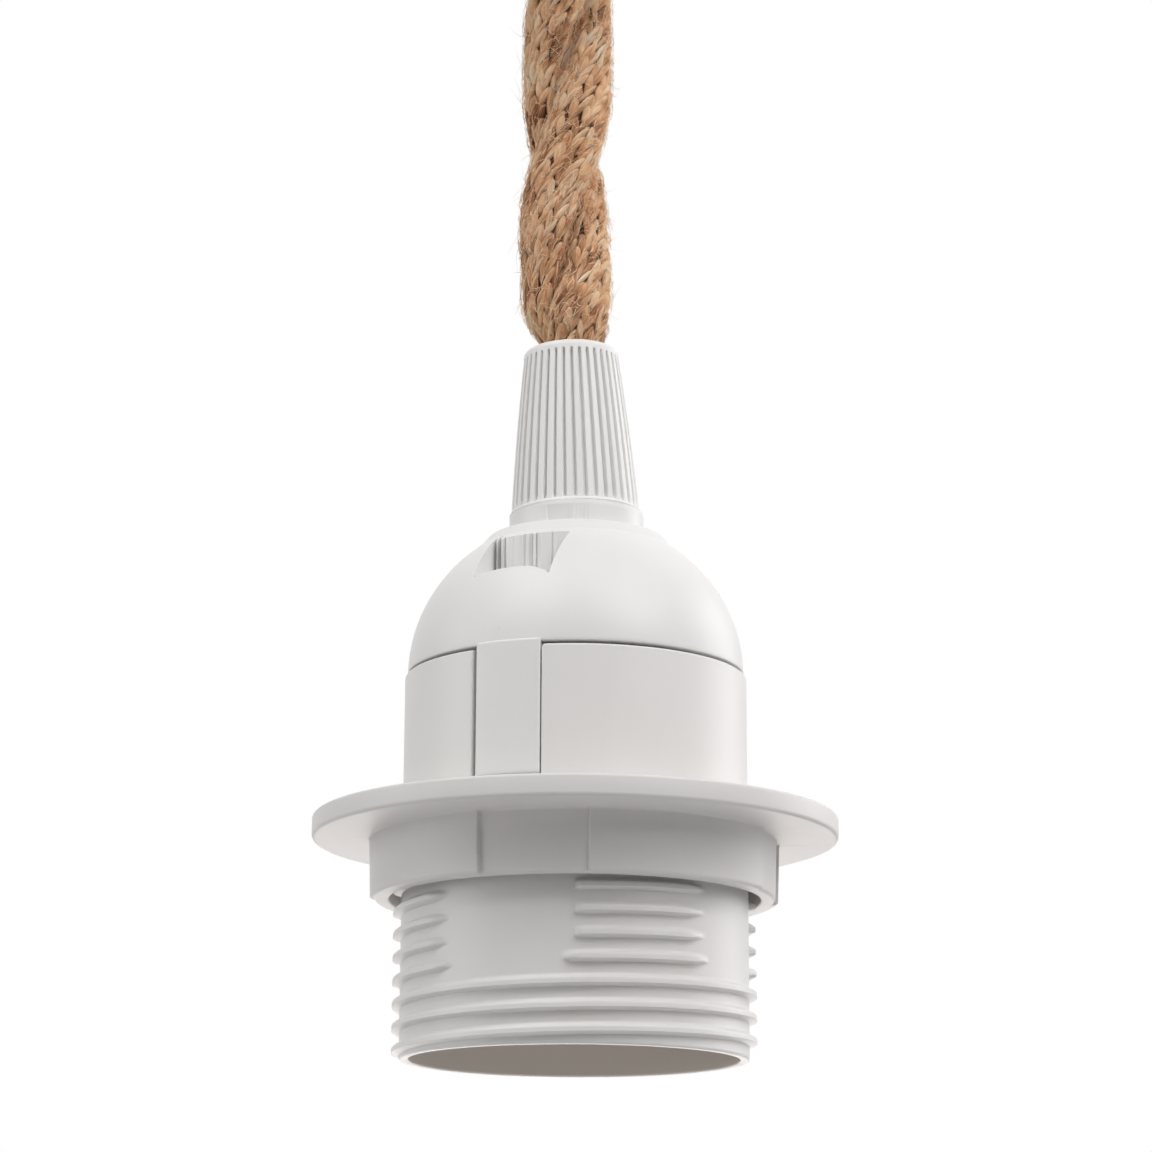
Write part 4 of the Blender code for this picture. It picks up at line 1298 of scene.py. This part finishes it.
def makeScrew(node, towards, headHeight, material):
    low, high = (Vector(corner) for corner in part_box(node))
    towards = Vector(towards)
    size, middle = high - low, (low + high) / 2
    length = abs(size.dot(towards))
    headRadius = max(abs(value) for value in (size - towards * size.dot(towards))) / 2
    shank = screwLook["shank"] * headRadius
    under = length - headHeight
    shape = lathe(node, [(0, length)] + rounded([
        (0, length, 0), (headRadius, length, 0.35 * mm), (headRadius, under, 0.1 * mm),
        (shank, under, 0), (shank, 0.3 * shank, 0), (0.7 * shank, 0, 0),
    ], 5)[1:] + [(0, 0)], screwLook["columns"], closed=False)
    thing = objectFrom(f"{node}Fine", shape, material)
    half = screwLook["slot"] / 2
    wide, deep = 1.4 * headRadius, length - 0.5 * headHeight
    corners = [(-wide, -half), (wide, -half), (wide, half), (-wide, half)]
    cut = lofted(f"{node}Slot", [[(x, y, z) for x, y in corners] for z in (deep, length + mm)])
    carved(thing, cut)
    turn = Vector((0, 0, 1)).rotation_difference(towards).to_matrix().to_4x4()
    foot = middle - towards * (length / 2)
    thing.data.transform(Matrix.Translation(foot) @ turn)
    shadeRound(thing.data, 35)
    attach(thing, "pendant")
    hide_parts(node)


# Ceiling cup and gland
ceiling = {
    "radius": 40.0 * mm,
    "taper": 1.8 * mm,
    "corner": 14.0 * mm,
    "wall": 1.8 * mm,
    "gland": 7.8 * mm,
    "glandTip": 6.2 * mm,
    "glandStub": 6.0 * mm,
    "glandBore": 4.9 * mm,
    "screwDrop": 8.5 * mm,
    "screwHole": 1.9 * mm,
    "clampDrop": 5.5 * mm,        # below the cup
    "clampHole": 1.6 * mm,
    "columns": 192,
}


def rodBetween(name, start, end, radius):
    shape = bmesh.new()
    start, end = Vector(start), Vector(end)
    turn = Vector((0, 0, 1)).rotation_difference(end - start).to_matrix().to_4x4()
    bmesh.ops.create_cone(shape, cap_ends=True, segments=32, radius1=radius, radius2=radius,
                          depth=(end - start).length, matrix=Matrix.Translation((start + end) / 2) @ turn)
    mesh = bpy.data.meshes.new(name)
    shape.to_mesh(mesh)
    shape.free()
    return objectFrom(name, mesh)


def makeCup():
    plastic = makePlastic("cupPlastic", "cup")
    radius, corner, wall = ceiling["radius"], ceiling["corner"], ceiling["wall"]
    hole = ceiling["glandStub"] + 0.3 * mm
    low = radius - ceiling["taper"]
    thing = objectFrom("ceilingCupFine", lathe("ceilingCupFine", rounded([
        (radius, 0, 0.5 * mm),
        (low, cupBase, corner),
        (hole, cupBase, 0.2 * mm),
        (hole, cupBase + wall, 0),
        (low - wall, cupBase + wall, corner - wall),
        (radius - wall, 0, 0.5 * mm),
    ], 14), ceiling["columns"]), plastic)
    height = -ceiling["screwDrop"]
    holes = [rodBetween(f"screwHole{side}", (side * 0.6 * radius, 0, height), (side * 1.2 * radius, 0, height),
                        ceiling["screwHole"]) for side in (-1, 1)]
    carved(thing, *holes)
    shadeRound(thing.data, 35)
    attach(thing, "pendant")
    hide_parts("ceiling_cup")


def makeGland(plastic):
    flange, top = cupBase - 0.3 * mm, topOf("ceiling_gland")
    thing = objectFrom("ceilingGlandFine", lathe("ceilingGlandFine", rounded([
        (ceiling["glandStub"], top, 0.2 * mm),
        (ceiling["glandStub"], flange, 0),
        (ceiling["gland"], flange, 0.3 * mm),
        (ceiling["gland"], flange - 3 * mm, 1.5 * mm),
        (ceiling["glandTip"], glandTip, 0.8 * mm),
        (ceiling["glandBore"], glandTip, 0.3 * mm),
        (ceiling["glandBore"], top, 0.2 * mm),
    ], 6), 96), plastic)
    height = cupBase - ceiling["clampDrop"]
    carved(thing, rodBetween("clampHole", (0, 0, height), (0, -12 * mm, height), ceiling["clampHole"]))
    shadeRound(thing.data, 35)
    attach(thing, "pendant")
    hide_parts("ceiling_gland")


makeLampThread()
glandPlastic = makePlastic("glandPlastic", "nut")
makeCup()
makeGland(glandPlastic)
for node, towards, headHeight, kind, slot in screwLook["screws"]:
    makeScrew(node, towards, headHeight, hard["steel"] if kind == "steel" else glandPlastic)
for node in ("shell_rivet", "centre_contact_rivet", "centre_contact", "live_terminal", "neutral_terminal"):
    finishNode(node, hard["brass"])
for node in ("terminal_base", "cord_grip_collet", "ceiling_terminal_block"):
    finishNode(node, hard["insulating"])
for node, kind in (("live_lead", "brown"), ("ceiling_live_lead", "brown"),
                   ("neutral_lead", "blue"), ("ceiling_neutral_lead", "blue"), ("ceiling_bracket", "steel")):
    finishNode(node, hard[kind])
finishNode("gland_lock_nut", glandPlastic)
print("fittings made")


# Stage: a pale floor far below, and a plain white round about
stageLook = {
    "floorBelow": 0.32,           # under the holder's mouth
    "floorHalf": 12.0,
    "floorColour": (0.86, 0.86, 0.86, 1),
    "floorSpecks": (0.8, 0.8, 0.8, 1),
    "floorGlow": (0.58, 0.58, 0.58, 1),    # what a look at the floor adds near the part
    "farGlow": (1, 1, 1, 1),      # and where the lamps no longer reach
    "nearRadius": 0.5,
    "fadeOver": 1.8,
    "roomLight": 0.02,
    "lamps": [                    # name, place from the holder's middle, size in metres, power, colour
        ("keyLamp", (0.429, -0.429, 0.350), 0.45, 2.43, (1, 0.99, 1)),
        ("highRightLamp", (0.289, -0.345, 0.536), 0.45, 1.64, (1, 0.99, 1)),
        ("highLeftLamp", (-0.289, -0.345, 0.536), 0.45, 2.01, (1, 1, 1)),
        ("leftLamp", (-0.679, -0.120, 0.122), 0.45, 1.89, (1, 1, 1)),
        ("rimLamp", (0.613, 0.286, 0.181), 0.45, 2.05, (1, 0.99, 1)),
        ("lowLamp", (0.000, 0.400, -0.220), 0.30, 0.50, (1, 0.92, 0.88)),
    ],
}


def seenShare(board):
    # 1 for what the camera sees, directly, mirrored or through glass, 0 for light on its way to a surface
    rays = board.node("ShaderNodeLightPath").socket.node
    direct = Wire(board, rays.outputs["Is Camera Ray"])
    mirrored = Wire(board, rays.outputs["Is Glossy Ray"])
    return most(most(direct, mirrored), Wire(board, rays.outputs["Is Transmission Ray"]))


def makeStage():
    half = stageLook["floorHalf"]
    height = mouth - stageLook["floorBelow"]
    corners = [(-half, -half, height), (half, -half, height), (half, half, height), (-half, half, height)]
    material, board, shader = newFinish("paleFloor", {"Emission Strength": 1.0, "Roughness": 0.9})
    grain = noise(board, placeOf(board), 40, 2.0)
    colour = board.mixed(grain * 0.04, stageLook["floorColour"], stageLook["floorSpecks"])
    board.feed(shader.inputs["Base Color"], colour)
    x, y, _ = board.split(placeOf(board))
    far = eased(((x * x + y * y) ** 0.5 - stageLook["nearRadius"]) / stageLook["fadeOver"])
    glow = board.mixed(far, stageLook["floorGlow"], stageLook["farGlow"])
    board.feed(shader.inputs["Emission Color"], board.mixed(seenShare(board), (0, 0, 0, 1), glow))
    # seen from below the floor isn't there
    below = Wire(board, board.node("ShaderNodeNewGeometry").socket.node.outputs["Backfacing"])
    clear = board.node("ShaderNodeBsdfTransparent")
    oneSided = board.node("ShaderNodeMixShader", None, {0: below, 1: Wire(board, shader.outputs[0]), 2: clear})
    output = next(node for node in material.node_tree.nodes if node.type == "OUTPUT_MATERIAL")
    board.feed(output.inputs[0], oneSided)
    floor = objectFrom("floor", meshFrom("floor", corners, [(0, 1, 2, 3)]), material)

    world = bpy.data.worlds.new("whiteRoom")
    world.use_nodes = True
    world.node_tree.nodes.clear()
    board = Board(world.node_tree)
    seen = seenShare(board)
    strength = seen + (1 - seen) * stageLook["roomLight"]
    glow = board.node("ShaderNodeBackground", None, {"Color": (1, 1, 1, 1), "Strength": strength})
    out = world.node_tree.nodes.new("ShaderNodeOutputWorld")
    world.node_tree.links.new(glow.socket, out.inputs[0])
    scene.world = world

    centre = Vector((0, 0, mouth + 0.06))
    for name, place, size, power, colour in stageLook["lamps"]:
        lamp = bpy.data.lights.new(name, "AREA")
        lamp.size = size
        lamp.energy = power
        lamp.color = colour
        thing = bpy.data.objects.new(name, lamp)
        scene.collection.objects.link(thing)
        spot = centre + Vector(place)
        thing.location = spot
        thing.rotation_euler = (centre - spot).to_track_quat("-Z", "Y").to_euler()


makeStage()
scene.view_settings.view_transform = "Standard"
print("stage lit")
